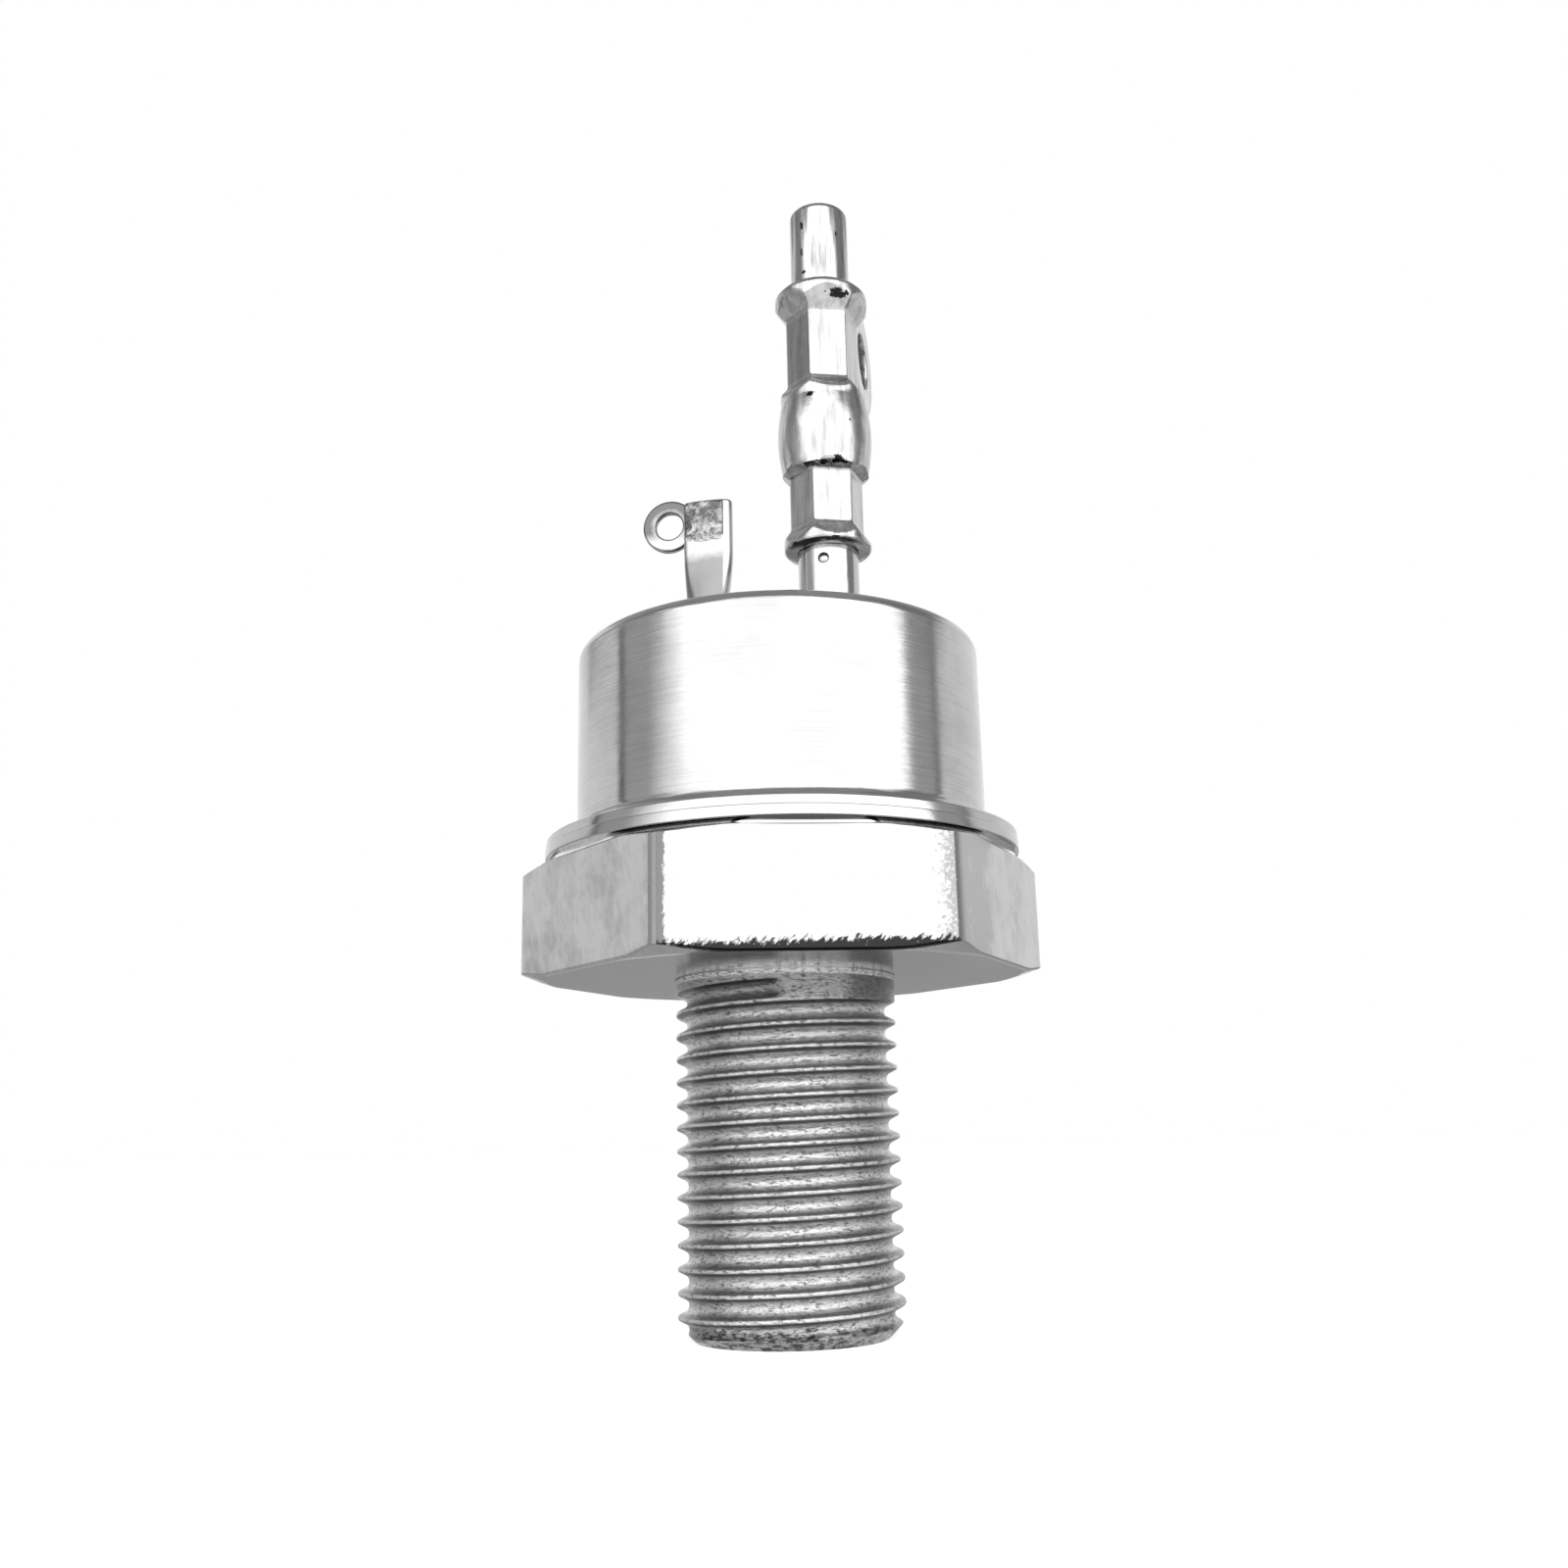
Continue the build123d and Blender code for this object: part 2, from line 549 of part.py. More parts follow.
# Silver foil between the pedestal and the anode disc
with BuildPart() as anode_foil:
    ring(ANODE_DISC_R, 0, PEDESTAL_Z, FOIL)
anode_foil.part.label = "anode_foil"

# Molybdenum disc that carries the silicon
with BuildPart() as anode_disc:
    ring(ANODE_DISC_R, 0, ANODE_Z, ANODE_DISC)
anode_disc.part.label = "anode_disc"

# Silicon pellet with a bevelled edge
with BuildPart() as silicon_pellet:
    with BuildSketch(Plane.XZ):
        outline(
            (0, PELLET_Z),
            (PELLET_R, PELLET_Z),
            (PELLET_R - PELLET_BEVEL, PELLET_TOP_Z),
            (0, PELLET_TOP_Z),
        )
    revolve(axis=Axis.Z)
silicon_pellet.part.label = "silicon_pellet"

# Silicone bead that covers the pellet's bevelled edge
with BuildPart() as junction_coating:
    bevel_top_r = PELLET_R - PELLET_BEVEL
    with BuildSketch(Plane.XZ):
        with BuildLine():
            Polyline(
                (ANODE_DISC_R, PELLET_Z),
                (PELLET_R, PELLET_Z),
                (bevel_top_r, PELLET_TOP_Z),
                (bevel_top_r - COATING_LAP, PELLET_TOP_Z),
            )
            ThreePointArc(
                (bevel_top_r - COATING_LAP, PELLET_TOP_Z),
                (PELLET_R, PELLET_Z + COATING_RISE),
                (ANODE_DISC_R, PELLET_Z),
            )
        make_face()
    revolve(axis=Axis.Z)
junction_coating.part.label = "junction_coating"

# Silver foil ring on the pellet's cathode
with BuildPart() as cathode_foil:
    ring(CATHODE_DISC_R, CATHODE_DISC_BORE_R, PELLET_TOP_Z, FOIL)
cathode_foil.part.label = "cathode_foil"

# Molybdenum ring
with BuildPart() as cathode_disc:
    ring(CATHODE_DISC_R, CATHODE_DISC_BORE_R, CATHODE_Z, CATHODE_DISC)
cathode_disc.part.label = "cathode_disc"

# Copper pole: flange under the springs, stem bored for the gate contact and for the lead
with BuildPart() as cathode_pole:
    with BuildSketch(Plane.XZ):
        outline(
            (POLE_BORE_R, POLE_Z),
            (POLE_FLANGE_R, POLE_Z),
            (POLE_FLANGE_R, BUSH_Z),
            (POLE_R, BUSH_Z),
            (POLE_R, POLE_TOP),
            (POLE_BORE_R, POLE_TOP),
        )
    revolve(axis=Axis.Z)
    with BuildSketch(cathode_level(POLE_TOP)):
        Circle(LEAD_R + LEAD_FIT)
    extrude(amount=-LEAD_SOCKET, mode=Mode.SUBTRACT)
cathode_pole.part.label = "cathode_pole"

# Ceramic bush that keeps the springs off the pole
with BuildPart() as pole_insulator:
    with BuildSketch(Plane.XZ):
        outline(
            (BUSH_BORE_R, BUSH_Z),
            (BUSH_FLANGE_R, BUSH_Z),
            (BUSH_FLANGE_R, THRUST_Z),
            (BUSH_R, THRUST_Z),
            (BUSH_R, BUSH_Z + BUSH_HEIGHT),
            (BUSH_BORE_R, BUSH_Z + BUSH_HEIGHT),
        )
    revolve(axis=Axis.Z)
pole_insulator.part.label = "pole_insulator"

# Hard steel washer under the springs
with BuildPart() as thrust_washer:
    ring(SPRING_R, SPRING_BORE_R, THRUST_Z, THRUST_WASHER)
thrust_washer.part.label = "thrust_washer"

# Conical disc springs, nested in each other
disc_springs = []
for index in range(SPRING_COUNT):
    foot = SPRING_Z + index * SPRING_THICKNESS
    with BuildPart() as disc_spring:
        with BuildSketch(Plane.XZ):
            outline(
                (SPRING_BORE_R, foot),
                (SPRING_R, foot + SPRING_RISE),
                (SPRING_R, foot + SPRING_RISE + SPRING_THICKNESS),
                (SPRING_BORE_R, foot + SPRING_THICKNESS),
            )
        revolve(axis=Axis.Z)
    disc_spring.part.label = f"disc_spring_{index + 1}"
    disc_springs.append(disc_spring)

# Snap ring that holds the springs down, open at one side
with BuildPart() as retaining_ring:
    with BuildSketch(Plane.XY.offset(SNAP_Z)):
        Circle(SNAP_GROOVE_R - SNAP_FIT)
        Circle(SNAP_RING_BORE_R, mode=Mode.SUBTRACT)
        with BuildLine():
            half_gap = math.radians(SNAP_GAP / 2)
            gap_reach = 2 * SNAP_GROOVE_R
            gap_side = gap_reach * math.tan(half_gap)
            Polyline((0, 0), (gap_side, gap_reach), (-gap_side, gap_reach), close=True)
        make_face(mode=Mode.SUBTRACT)
    extrude(amount=SNAP_RING)
retaining_ring.part.label = "retaining_ring"

# Gate contact: pin with a spring seat, resting on the pellet's centre
with BuildPart() as gate_contact:
    with BuildSketch(Plane.XZ):
        outline(
            (0, PELLET_TOP_Z),
            (PIN_R, PELLET_TOP_Z),
            (PIN_R, PIN_HEAD_Z),
            (PIN_HEAD_R, PIN_HEAD_Z),
            (PIN_HEAD_R, PIN_HEAD_Z + PIN_HEAD),
            (PIN_R, PIN_HEAD_Z + PIN_HEAD),
            (PIN_R, PIN_TOP_Z),
            (0, PIN_TOP_Z),
        )
    revolve(axis=Axis.Z)
gate_contact.part.label = "gate_contact"

# Insulating tube in the pole's bore, narrow below for the pin
with BuildPart() as gate_guide:
    ring(GUIDE_R, PIN_R + GUIDE_FIT, POLE_Z, GUIDE_BASE)
    ring(GUIDE_R, GUIDE_BORE_R, POLE_Z + GUIDE_BASE, POLE_TOP - POLE_Z - GUIDE_BASE)
gate_guide.part.label = "gate_guide"

# Plug that closes the guide over the spring
with BuildPart() as gate_plug:
    ring(GUIDE_BORE_R, GATE_WIRE_R + GUIDE_FIT, PLUG_Z, PLUG_HEIGHT)
gate_plug.part.label = "gate_plug"

# Coil spring between the pin's head and the plug
coil_foot = PIN_HEAD_Z + PIN_HEAD + COIL_WIRE_R
coil_height = PLUG_Z - COIL_WIRE_R - coil_foot
coil_r = (PIN_R + GUIDE_BORE_R) / 2
with BuildPart() as gate_spring:
    with BuildLine():
        coil = Helix(coil_height / COIL_TURNS, coil_height, coil_r, center=(0, 0, coil_foot))
    with BuildSketch(Plane(origin=coil @ 0, z_dir=coil % 0)):
        Circle(COIL_WIRE_R)
    sweep(path=coil)
gate_spring.part.label = "gate_spring"

# Gate wire from the pin, over the pole's top and up into the gate tube
with BuildPart() as gate_wire:
    with BuildLine() as wire_path:
        FilletPolyline(
            (0, 0, PIN_TOP_Z),
            (0, 0, GATE_WIRE_Z),
            (GATE_X, 0, GATE_WIRE_Z),
            (GATE_X, 0, GATE_WIRE_TOP),
            radius=GATE_WIRE_BEND,
        )
    with BuildSketch(Plane.XY.offset(PIN_TOP_Z)):
        Circle(GATE_WIRE_R)
    sweep(path=wire_path.line)
gate_wire.part.label = "gate_wire"

# Insulating sleeve on the level run of the gate wire
with BuildPart() as gate_sleeve:
    with BuildSketch(Plane(origin=(-GATE_WIRE_BEND, 0, GATE_WIRE_Z), z_dir=(-1, 0, 0))):
        Circle(GATE_SLEEVE_R)
        Circle(GATE_WIRE_R + GATE_SLEEVE_FIT, mode=Mode.SUBTRACT)
    extrude(amount=-GATE_X - 2 * GATE_WIRE_BEND)
gate_sleeve.part.label = "gate_sleeve"

# Copper lead from the pole's socket up through the cathode tube, squeezed by both crimps
lead_round = crimped_round(LEAD_R, LEAD_CRIMP_FLAT_R, POLE_TOP - LEAD_SOCKET, LEAD_TOP)
with BuildPart() as cathode_lead:
    add(lead_round)
cathode_lead.part.label = "cathode_lead"

pieces = [
    stud_base,
    weld_ring,
    cap_shell,
    glass_seal,
    cathode_tube,
    cathode_lug,
    gate_tube,
    gate_lug,
    spring_collar,
    anode_foil,
    anode_disc,
    silicon_pellet,
    junction_coating,
    cathode_foil,
    cathode_disc,
    cathode_pole,
    pole_insulator,
    thrust_washer,
    *disc_springs,
    retaining_ring,
    gate_contact,
    gate_guide,
    gate_plug,
    gate_spring,
    gate_wire,
    gate_sleeve,
    cathode_lead,
]
for piece in pieces:
    export_step(piece.part, f"parts/{piece.part.label}.step")
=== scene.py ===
import math

import bmesh
import bpy
from mathutils import Euler, Matrix, Vector


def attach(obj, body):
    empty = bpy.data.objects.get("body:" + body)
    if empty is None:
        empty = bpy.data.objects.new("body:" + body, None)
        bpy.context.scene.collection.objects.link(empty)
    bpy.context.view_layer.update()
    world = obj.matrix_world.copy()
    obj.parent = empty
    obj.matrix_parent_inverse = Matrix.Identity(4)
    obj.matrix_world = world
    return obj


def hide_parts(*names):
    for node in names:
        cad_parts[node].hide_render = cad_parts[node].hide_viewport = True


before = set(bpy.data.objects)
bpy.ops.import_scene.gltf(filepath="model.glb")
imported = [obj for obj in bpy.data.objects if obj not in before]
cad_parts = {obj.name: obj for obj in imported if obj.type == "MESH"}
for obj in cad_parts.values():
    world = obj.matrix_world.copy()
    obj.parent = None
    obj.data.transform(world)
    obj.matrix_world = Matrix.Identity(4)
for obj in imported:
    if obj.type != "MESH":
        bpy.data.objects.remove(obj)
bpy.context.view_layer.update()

# Camera: close in front of the part, a little above its foot, and looking slightly up at it.
# Place, turn and lens were fitted to the photo's outlines.
camera = bpy.data.objects.new("camera", bpy.data.cameras.new("camera"))
camera.matrix_world = (
    Matrix.Translation((-0.000956, -0.087785, -0.009205))
    @ Matrix.Rotation(math.radians(-0.761), 4, "Z")
    @ Matrix.Rotation(math.radians(103.381), 4, "X")
    @ Matrix.Rotation(math.radians(-1.317), 4, "Z")
)
camera.data.lens = 34.485
camera.data.sensor_width = 36
camera.data.clip_start = 0.001
bpy.context.scene.collection.objects.link(camera)
bpy.context.scene.camera = camera
bpy.context.scene.view_settings.view_transform = "Standard"


# Base: hexagon, washer face and threaded stud, turned in one piece from copper bar.
# A satin nickel plate covers it, nicked along the hexagon's edges and scuffed on the flats.
# The cap is welded on its top, and the stud goes through the heat sink.
def linear(text):
    """Linear RGBA of an sRGB hex colour."""
    parts = [int(text[i:i + 2], 16) / 255 for i in (1, 3, 5)]
    return [c / 12.92 if c <= 0.04045 else ((c + 0.055) / 1.055) ** 2.4 for c in parts] + [1]


def add(tree, kind, sockets, **settings):
    """Adds a shader node with its settings, values and links, and returns its outputs."""
    node = tree.nodes.new("ShaderNode" + kind)
    for name, value in settings.items():
        setattr(node, name, value)
    for name, value in sockets.items():
        if isinstance(value, bpy.types.NodeSocket):
            tree.links.new(value, node.inputs[name])
        else:
            node.inputs[name].default_value = value
    return node.outputs


def blank_material(name):
    """New material with an empty tree, and that tree."""
    material = bpy.data.materials.new(name)
    material.use_nodes = True
    material.node_tree.nodes.clear()
    return material, material.node_tree


def finished(bm, name, material, node, smooth=50):
    """Object in metres from a mesh drawn in millimetres, riding on the body in its node's place."""
    bmesh.ops.scale(bm, vec=(0.001, 0.001, 0.001), verts=bm.verts)
    mesh = bpy.data.meshes.new(name)
    bm.to_mesh(mesh)
    bm.free()
    mesh.materials.append(material)
    mesh.shade_smooth()
    mesh.set_sharp_from_angle(angle=math.radians(smooth))
    piece = bpy.data.objects.new(name, mesh)
    bpy.context.scene.collection.objects.link(piece)
    weighted = piece.modifiers.new("weighted", "WEIGHTED_NORMAL")
    weighted.keep_sharp = True
    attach(piece, "root")
    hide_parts(node)
    return piece


def spun(bm, middle=0, lift=0, steps=192):
    """Spins a profile once round the upright axis at x = middle, rising by lift, and merges it."""
    bmesh.ops.spin(bm, geom=bm.verts[:] + bm.edges[:], cent=(middle, 0, 0), axis=(0, 0, 1),
                   dvec=(0, 0, lift / steps), angle=math.tau, steps=steps, use_merge=lift == 0)
    bmesh.ops.remove_doubles(bm, verts=bm.verts, dist=0.0005)
    bmesh.ops.recalc_face_normals(bm, faces=bm.faces)


def outlined(bm, corners, middle=0, segments=4, closed=True):
    """Wire profile in the XZ plane from (radius, height, rounding) corners."""
    verts = [bm.verts.new((middle + r, 0, z)) for r, z, rounding in corners]
    ends = verts[1:] + verts[:1] if closed else verts[1:]
    for a, b in zip(verts, ends):
        bm.edges.new((a, b))
    for vert, (r, z, rounding) in zip(verts, corners):
        if rounding:
            bmesh.ops.bevel(bm, geom=[vert], offset=rounding, segments=segments, profile=0.5,
                            affect="VERTICES", material=-1)


def drawn_out(bm, rim):
    """Extrudes an open rim in place, and returns the new rim's edges and vertices."""
    grown = bmesh.ops.extrude_edge_only(bm, edges=rim)["geom"]
    return ([e for e in grown if isinstance(e, bmesh.types.BMEdge)],
            [v for v in grown if isinstance(v, bmesh.types.BMVert)])


def joined(bm, other):
    """Adds the faces of another bmesh to the first one."""
    mesh = bpy.data.meshes.new("joined")
    other.to_mesh(mesh)
    other.free()
    bm.from_mesh(mesh)
    bpy.data.meshes.remove(mesh)


hex_flats, hex_height, hex_turn = 26.7, 6.5, 5.0
hex_corner = hex_flats / 2 / math.cos(math.radians(30))
corner_round, edge_round = 0.75, 0.16
chamfer_r, chamfer_drop, chamfer_blend = 13.9, 0.5, 0.05
# Radius and height of each step inwards, from the hexagon's foot to the stud and from its top over
# the washer face to the bore
under_steps = ((6.6, 0.0), (6.45, 0.0), (6.2, 0.4))
washer_steps = ((13.75, 6.51), (13.7, 6.55), (13.68, 6.75), (13.62, 6.8), (11.0, 6.8), (10.9, 6.5))
base = bmesh.new()
bmesh.ops.create_circle(base, cap_ends=False, radius=hex_corner, segments=6,
                        matrix=Matrix.Rotation(math.radians(hex_turn + 30), 4, "Z"))
bmesh.ops.bevel(base, geom=base.verts[:], offset=corner_round, segments=8, profile=0.5,
                affect="VERTICES", material=-1)
flats = [e for e in base.edges if e.calc_length() > 5]
bmesh.ops.subdivide_edges(base, edges=flats, cuts=40)
ring = base.edges[:]
# Rows of faces stand close together near both edges, which roll over
levels = [0.02, 0.05, 0.09, 0.16] + [0.16 + 0.04 * i for i in range(1, 11)] + [0.62, 0.8]
levels += [hex_height / 2] + [hex_height - z for z in reversed(levels)] + [hex_height]
last = 0.0
for level in levels:
    ring, top = drawn_out(base, ring)
    bmesh.ops.translate(base, vec=(0, 0, level - last), verts=top)
    last = level
for vert in base.verts:
    flat_r = math.hypot(vert.co.x, vert.co.y)
    depth = min(vert.co.z, hex_height - vert.co.z)
    cone_r = chamfer_r + (hex_corner - chamfer_r) * depth / chamfer_drop
    blend = max(0.0, 1 - abs(flat_r - cone_r) / chamfer_blend)
    limit = min(flat_r, cone_r) - chamfer_blend / 4 * blend * blend
    rounding = edge_round if vert.co.z < hex_height / 2 else edge_round / 2
    rolled = rounding - math.sqrt(max(0.0, rounding ** 2 - max(0.0, rounding - depth) ** 2))
    vert.co.xy *= (limit - rolled) / flat_r
rims = [e for e in base.edges if e.is_boundary]
low_rim = [e for e in rims if e.verts[0].co.z < 1]
high_rim = [e for e in rims if e.verts[0].co.z > 1]
for rim, steps in ((low_rim, under_steps), (high_rim, washer_steps)):
    for step_r, step_z in steps:
        rim, drawn_in = drawn_out(base, rim)
        for vert in drawn_in:
            vert.co.xy *= min(1.0, step_r / math.hypot(vert.co.x, vert.co.y))
            vert.co.z = step_z
    bmesh.ops.holes_fill(base, edges=rim, sides=0)
bmesh.ops.recalc_face_normals(base, faces=base.faces)

# The thread starts in front, below a plain collar, and runs out over the last 12 degrees of a turn.
pitch, crest_r, root_r, stud_length = 1.27, 6.33, 5.7, 19.8
thread_start, run_out = -1.7175, 12
end_cone, end_blend = 0.95, 0.1
# Height, radius and rounding of the four corners of one turn
tooth = ((-0.10, crest_r, 0.07), (-0.42, root_r, 0.19),
         (-0.85, root_r, 0.19), (-1.17, crest_r, 0.07))
stud = bmesh.new()
profile = []
for turn in range(-2, 17):
    profile += [(r, thread_start - pitch * turn + z, rounding) for z, r, rounding in tooth]
outlined(stud, profile, segments=3, closed=False)
bmesh.ops.remove_doubles(stud, verts=stud.verts, dist=0.0005)
bmesh.ops.rotate(stud, cent=(0, 0, 0), matrix=Matrix.Rotation(math.radians(-90), 3, "Z"),
                 verts=stud.verts)
spun(stud, lift=pitch)
for side, height in ((1, 0.2), (-1, -stud_length)):
    bmesh.ops.bisect_plane(stud, geom=stud.verts[:] + stud.edges[:] + stud.faces[:], dist=0.0001,
                           plane_co=(0, 0, height), plane_no=(0, 0, side), clear_outer=True)
for vert in stud.verts:
    radius = math.hypot(vert.co.x, vert.co.y)
    angle = (math.degrees(math.atan2(vert.co.y, vert.co.x)) + 90) % 360
    start = thread_start + pitch * angle / 360
    if vert.co.z > start:
        radius = crest_r
    elif vert.co.z > start - pitch and angle > 360 - run_out:
        radius += (crest_r - radius) * (angle - 360 + run_out) / run_out
    cone = crest_r - end_cone + (vert.co.z + stud_length)
    blend = max(0.0, 1 - abs(radius - cone) / end_blend)
    radius = min(radius, cone) - end_blend / 4 * blend * blend
    vert.co.xy *= radius / math.hypot(vert.co.x, vert.co.y)
bmesh.ops.remove_doubles(stud, verts=stud.verts, dist=0.0005)
bmesh.ops.holes_fill(stud, edges=[e for e in stud.edges if e.is_boundary], sides=0)
bmesh.ops.recalc_face_normals(stud, faces=stud.faces)
joined(base, stud)

# Satin nickel over turned copper: a clear grey mirror that clouds and scratches on the flats, with
# the plate knocked through in fine strokes along the front flat's foot. The thread is rough: its
# roots are torn and speckled, and dirt lies in them and on the stud's end.
# Sizes in mm: clouds 3, scratches 0.35 by 2, strokes 0.2 by 0.6, grit 0.2, tears 0.5 by 0.2 and
# specks 0.4 by 0.1, all a little coarser than the real ones, so that they show.
plate, tree = blank_material("nickelled_base")
place = add(tree, "TexCoord", {})["Object"]
mm = add(tree, "VectorMath", {0: place, "Scale": 1000}, operation="SCALE")[0]
axes = add(tree, "SeparateXYZ", {0: mm})
turn_sin, turn_cos = math.sin(math.radians(hex_turn)), math.cos(math.radians(hex_turn))
facing = add(tree, "VectorMath", {0: mm, 1: (turn_sin, -turn_cos, 0.0)},
             operation="DOT_PRODUCT")["Value"]
across = add(tree, "VectorMath", {0: mm, 1: (turn_cos, turn_sin, 0.0)},
             operation="DOT_PRODUCT")["Value"]
on_front = add(tree, "MapRange", {0: facing, 1: 13.0, 2: 13.15})[0]
# Plate worn through in strokes along the front flat's foot, more to the right
foot = add(tree, "MapRange", {0: axes[2], 1: 1.05, 2: 0.2})[0]
foot_front = add(tree, "Math", {0: foot, 1: on_front}, operation="MULTIPLY")[0]
rightward = add(tree, "MapRange", {0: across, 1: -7.5, 2: 3.0, 3: 0.68, 4: 1.0})[0]
worn = add(tree, "Math", {0: foot_front, 1: rightward}, operation="MULTIPLY")[0]
strokes = add(tree, "Mapping", {0: mm, "Rotation": (0.0, 0.7, 0.0), "Scale": (0.2, 0.2, 0.6)},
              vector_type="TEXTURE")[0]
stroke = add(tree, "TexNoise", {"Vector": strokes, "Scale": 1.0, "Detail": 5.0,
                                "Roughness": 0.65})[0]
hatch = add(tree, "Math", {0: worn, 1: 0.58, 2: stroke}, operation="MULTIPLY_ADD")[0]
pits = add(tree, "MapRange", {0: hatch, 1: 0.73, 2: 0.83})[0]
# Frosted right corner of the front flat, and painted shade on its rounded left corner
grit = add(tree, "TexNoise", {"Vector": mm, "Scale": 5.0, "Detail": 3.0, "Roughness": 0.7})[0]
corner = add(tree, "MapRange", {0: across, 1: 6.2, 2: 7.6, 3: 0.0, 4: 0.36})[0]
grainy = add(tree, "Math", {0: grit, 1: 0.5, 2: across}, operation="MULTIPLY_ADD")[0]
left_corner = add(tree, "MapRange", {0: grainy, 1: -6.95, 2: -7.07})[0]
stippled = add(tree, "Math", {0: corner, 1: grit}, operation="ADD")[0]
stipple = add(tree, "MapRange", {0: stippled, 1: 0.62, 2: 0.78})[0]
frosted = add(tree, "Math", {0: stipple, 1: on_front}, operation="MULTIPLY")[0]
# Slanting scratches and clouds on the other flats, densest beside the front flat's right corner
slant = add(tree, "Mapping", {0: mm, "Rotation": (0.0, -0.5, 0.0), "Scale": (0.35, 0.35, 2.0)},
            vector_type="TEXTURE")[0]
scuff = add(tree, "TexNoise", {"Vector": slant, "Scale": 1.0, "Detail": 4.0, "Roughness": 0.6})[0]
cloud = add(tree, "TexNoise", {"Vector": mm, "Scale": 0.35, "Detail": 5.0, "Roughness": 0.6})[0]
mottled = add(tree, "Math", {0: scuff, 1: 0.5, 2: cloud}, operation="MULTIPLY_ADD")[0]
offset = add(tree, "Math", {0: across, 1: 8.8}, operation="SUBTRACT")[0]
offset = add(tree, "Math", {0: offset}, operation="ABSOLUTE")[0]
beside = add(tree, "MapRange", {0: offset, 1: 2.2, 2: 0.8, 3: 0.0, 4: 0.3})[0]
patchy = add(tree, "MapRange", {0: on_front, 3: beside, 4: 0.0})[0]
clouded = add(tree, "Math", {0: mottled, 1: patchy}, operation="ADD")[0]
side_scuffs = add(tree, "MapRange", {0: clouded, 1: 0.66, 2: 0.95})[0]
side_only = add(tree, "MapRange", {0: on_front, 3: 1.0, 4: 0.15})[0]
upright = add(tree, "MapRange", {0: axes[2], 1: 0.02, 2: 0.08})[0]
kept_scuffs = add(tree, "Math", {0: side_only, 1: upright}, operation="MULTIPLY")[0]
scuffed = add(tree, "Math", {0: side_scuffs, 1: kept_scuffs}, operation="MULTIPLY")[0]
plain = add(tree, "Mix", {0: scuffed, 6: linear("#B9B9B9"), 7: linear("#A9A9A9")},
            data_type="RGBA")[2]
toned = add(tree, "Mix", {0: frosted, 6: plain, 7: linear("#8C8C8C")}, data_type="RGBA")[2]
# Painted shade on the front flat's rounded left corner
painted_corner_shade = add(tree, "Math", {0: left_corner, 1: on_front}, operation="MULTIPLY")[0]
toned = add(tree, "Mix", {0: painted_corner_shade, 6: toned, 7: linear("#686868")}, data_type="RGBA")[2]
# Painted highlight on the washer face, and painted shade in its gap below the weld ring in front
aside = add(tree, "Math", {0: across}, operation="ABSOLUTE")[0]
shaded = add(tree, "MapRange", {0: aside, 1: 10.3, 2: 9.4, 3: 0.0, 4: 0.9})[0]
lifted = add(tree, "MapRange", {0: axes[2], 1: 6.6, 2: 6.66})[0]
washer_highlight = add(tree, "MapRange", {0: axes[2], 1: 6.5, 2: 6.54})[0]
gap = add(tree, "Math", {0: shaded, 1: lifted}, operation="MULTIPLY")[0]
# Painted highlight over the whole washer face
toned = add(tree, "Mix", {0: washer_highlight, 6: toned, 7: linear("#F2F2F2")}, data_type="RGBA")[2]
# Painted shade in the gap under the weld ring, joined with the worn pits
dark = add(tree, "Math", {0: pits, 1: gap}, operation="MAXIMUM")[0]
flats_colour = add(tree, "Mix", {0: dark, 6: toned, 7: linear("#2A2A2A")}, data_type="RGBA")[2]
flats_rough = add(tree, "MapRange", {0: scuffed, 3: 0.12, 4: 0.3})[0]
# Thread: torn and specked roots, and dirt towards the stud's end
speckle = add(tree, "TexNoise", {"Vector": mm, "Scale": 3.2, "Detail": 5.0, "Roughness": 0.75})[0]
ragged = add(tree, "Mapping", {0: mm, "Scale": (2.0, 2.0, 5.0)})[0]
torn = add(tree, "TexNoise", {"Vector": ragged, "Scale": 1.0, "Detail": 5.0, "Roughness": 0.7})[0]
end = add(tree, "MapRange", {0: axes[2], 1: -18.3, 2: -19.0, 3: 0.0, 4: 0.11})[0]
dirt = add(tree, "Math", {0: torn, 1: end}, operation="ADD")[0]
dirty = add(tree, "MapRange", {0: dirt, 1: 0.58, 2: 0.68})[0]
fine = add(tree, "Mapping", {0: mm, "Scale": (2.6, 2.6, 9.0)})[0]
specks = add(tree, "TexNoise", {"Vector": fine, "Scale": 1.0, "Detail": 3.0, "Roughness": 0.65})[0]
specked = add(tree, "MapRange", {0: specks, 1: 0.55, 2: 0.62, 3: 0.0, 4: 0.62})[0]
dirty = add(tree, "Math", {0: dirty, 1: specked}, operation="MAXIMUM")[0]
# Painted shade on flanks beside each crest, a dark collar and end, a bright line under the hexagon
normal = add(tree, "NewGeometry", {})["True Normal"]
upward = add(tree, "SeparateXYZ", {0: normal})[2]
# Painted shade on the flank faces turned up or down, near the crests
under_crest = add(tree, "MapRange", {0: upward, 1: -0.35, 2: -0.7})[0]
over_crest = add(tree, "MapRange", {0: upward, 1: 0.35, 2: 0.7, 3: 0.0, 4: 0.7})[0]
flank_shade = add(tree, "Math", {0: under_crest, 1: over_crest}, operation="MAXIMUM")[0]
flat_place = add(tree, "VectorMath", {0: mm, 1: (1.0, 1.0, 0.0)}, operation="MULTIPLY")[0]
from_axis = add(tree, "VectorMath", {0: flat_place}, operation="LENGTH")["Value"]
outward = add(tree, "MapRange", {0: from_axis, 1: 5.9, 2: 6.08})[0]
flank_shade = add(tree, "Math", {0: flank_shade, 1: outward}, operation="MULTIPLY")[0]
collar = add(tree, "MapRange", {0: axes[2], 1: -1.75, 2: -1.6})[0]
under_hexagon = add(tree, "MapRange", {0: axes[2], 1: -0.32, 2: -0.38})[0]
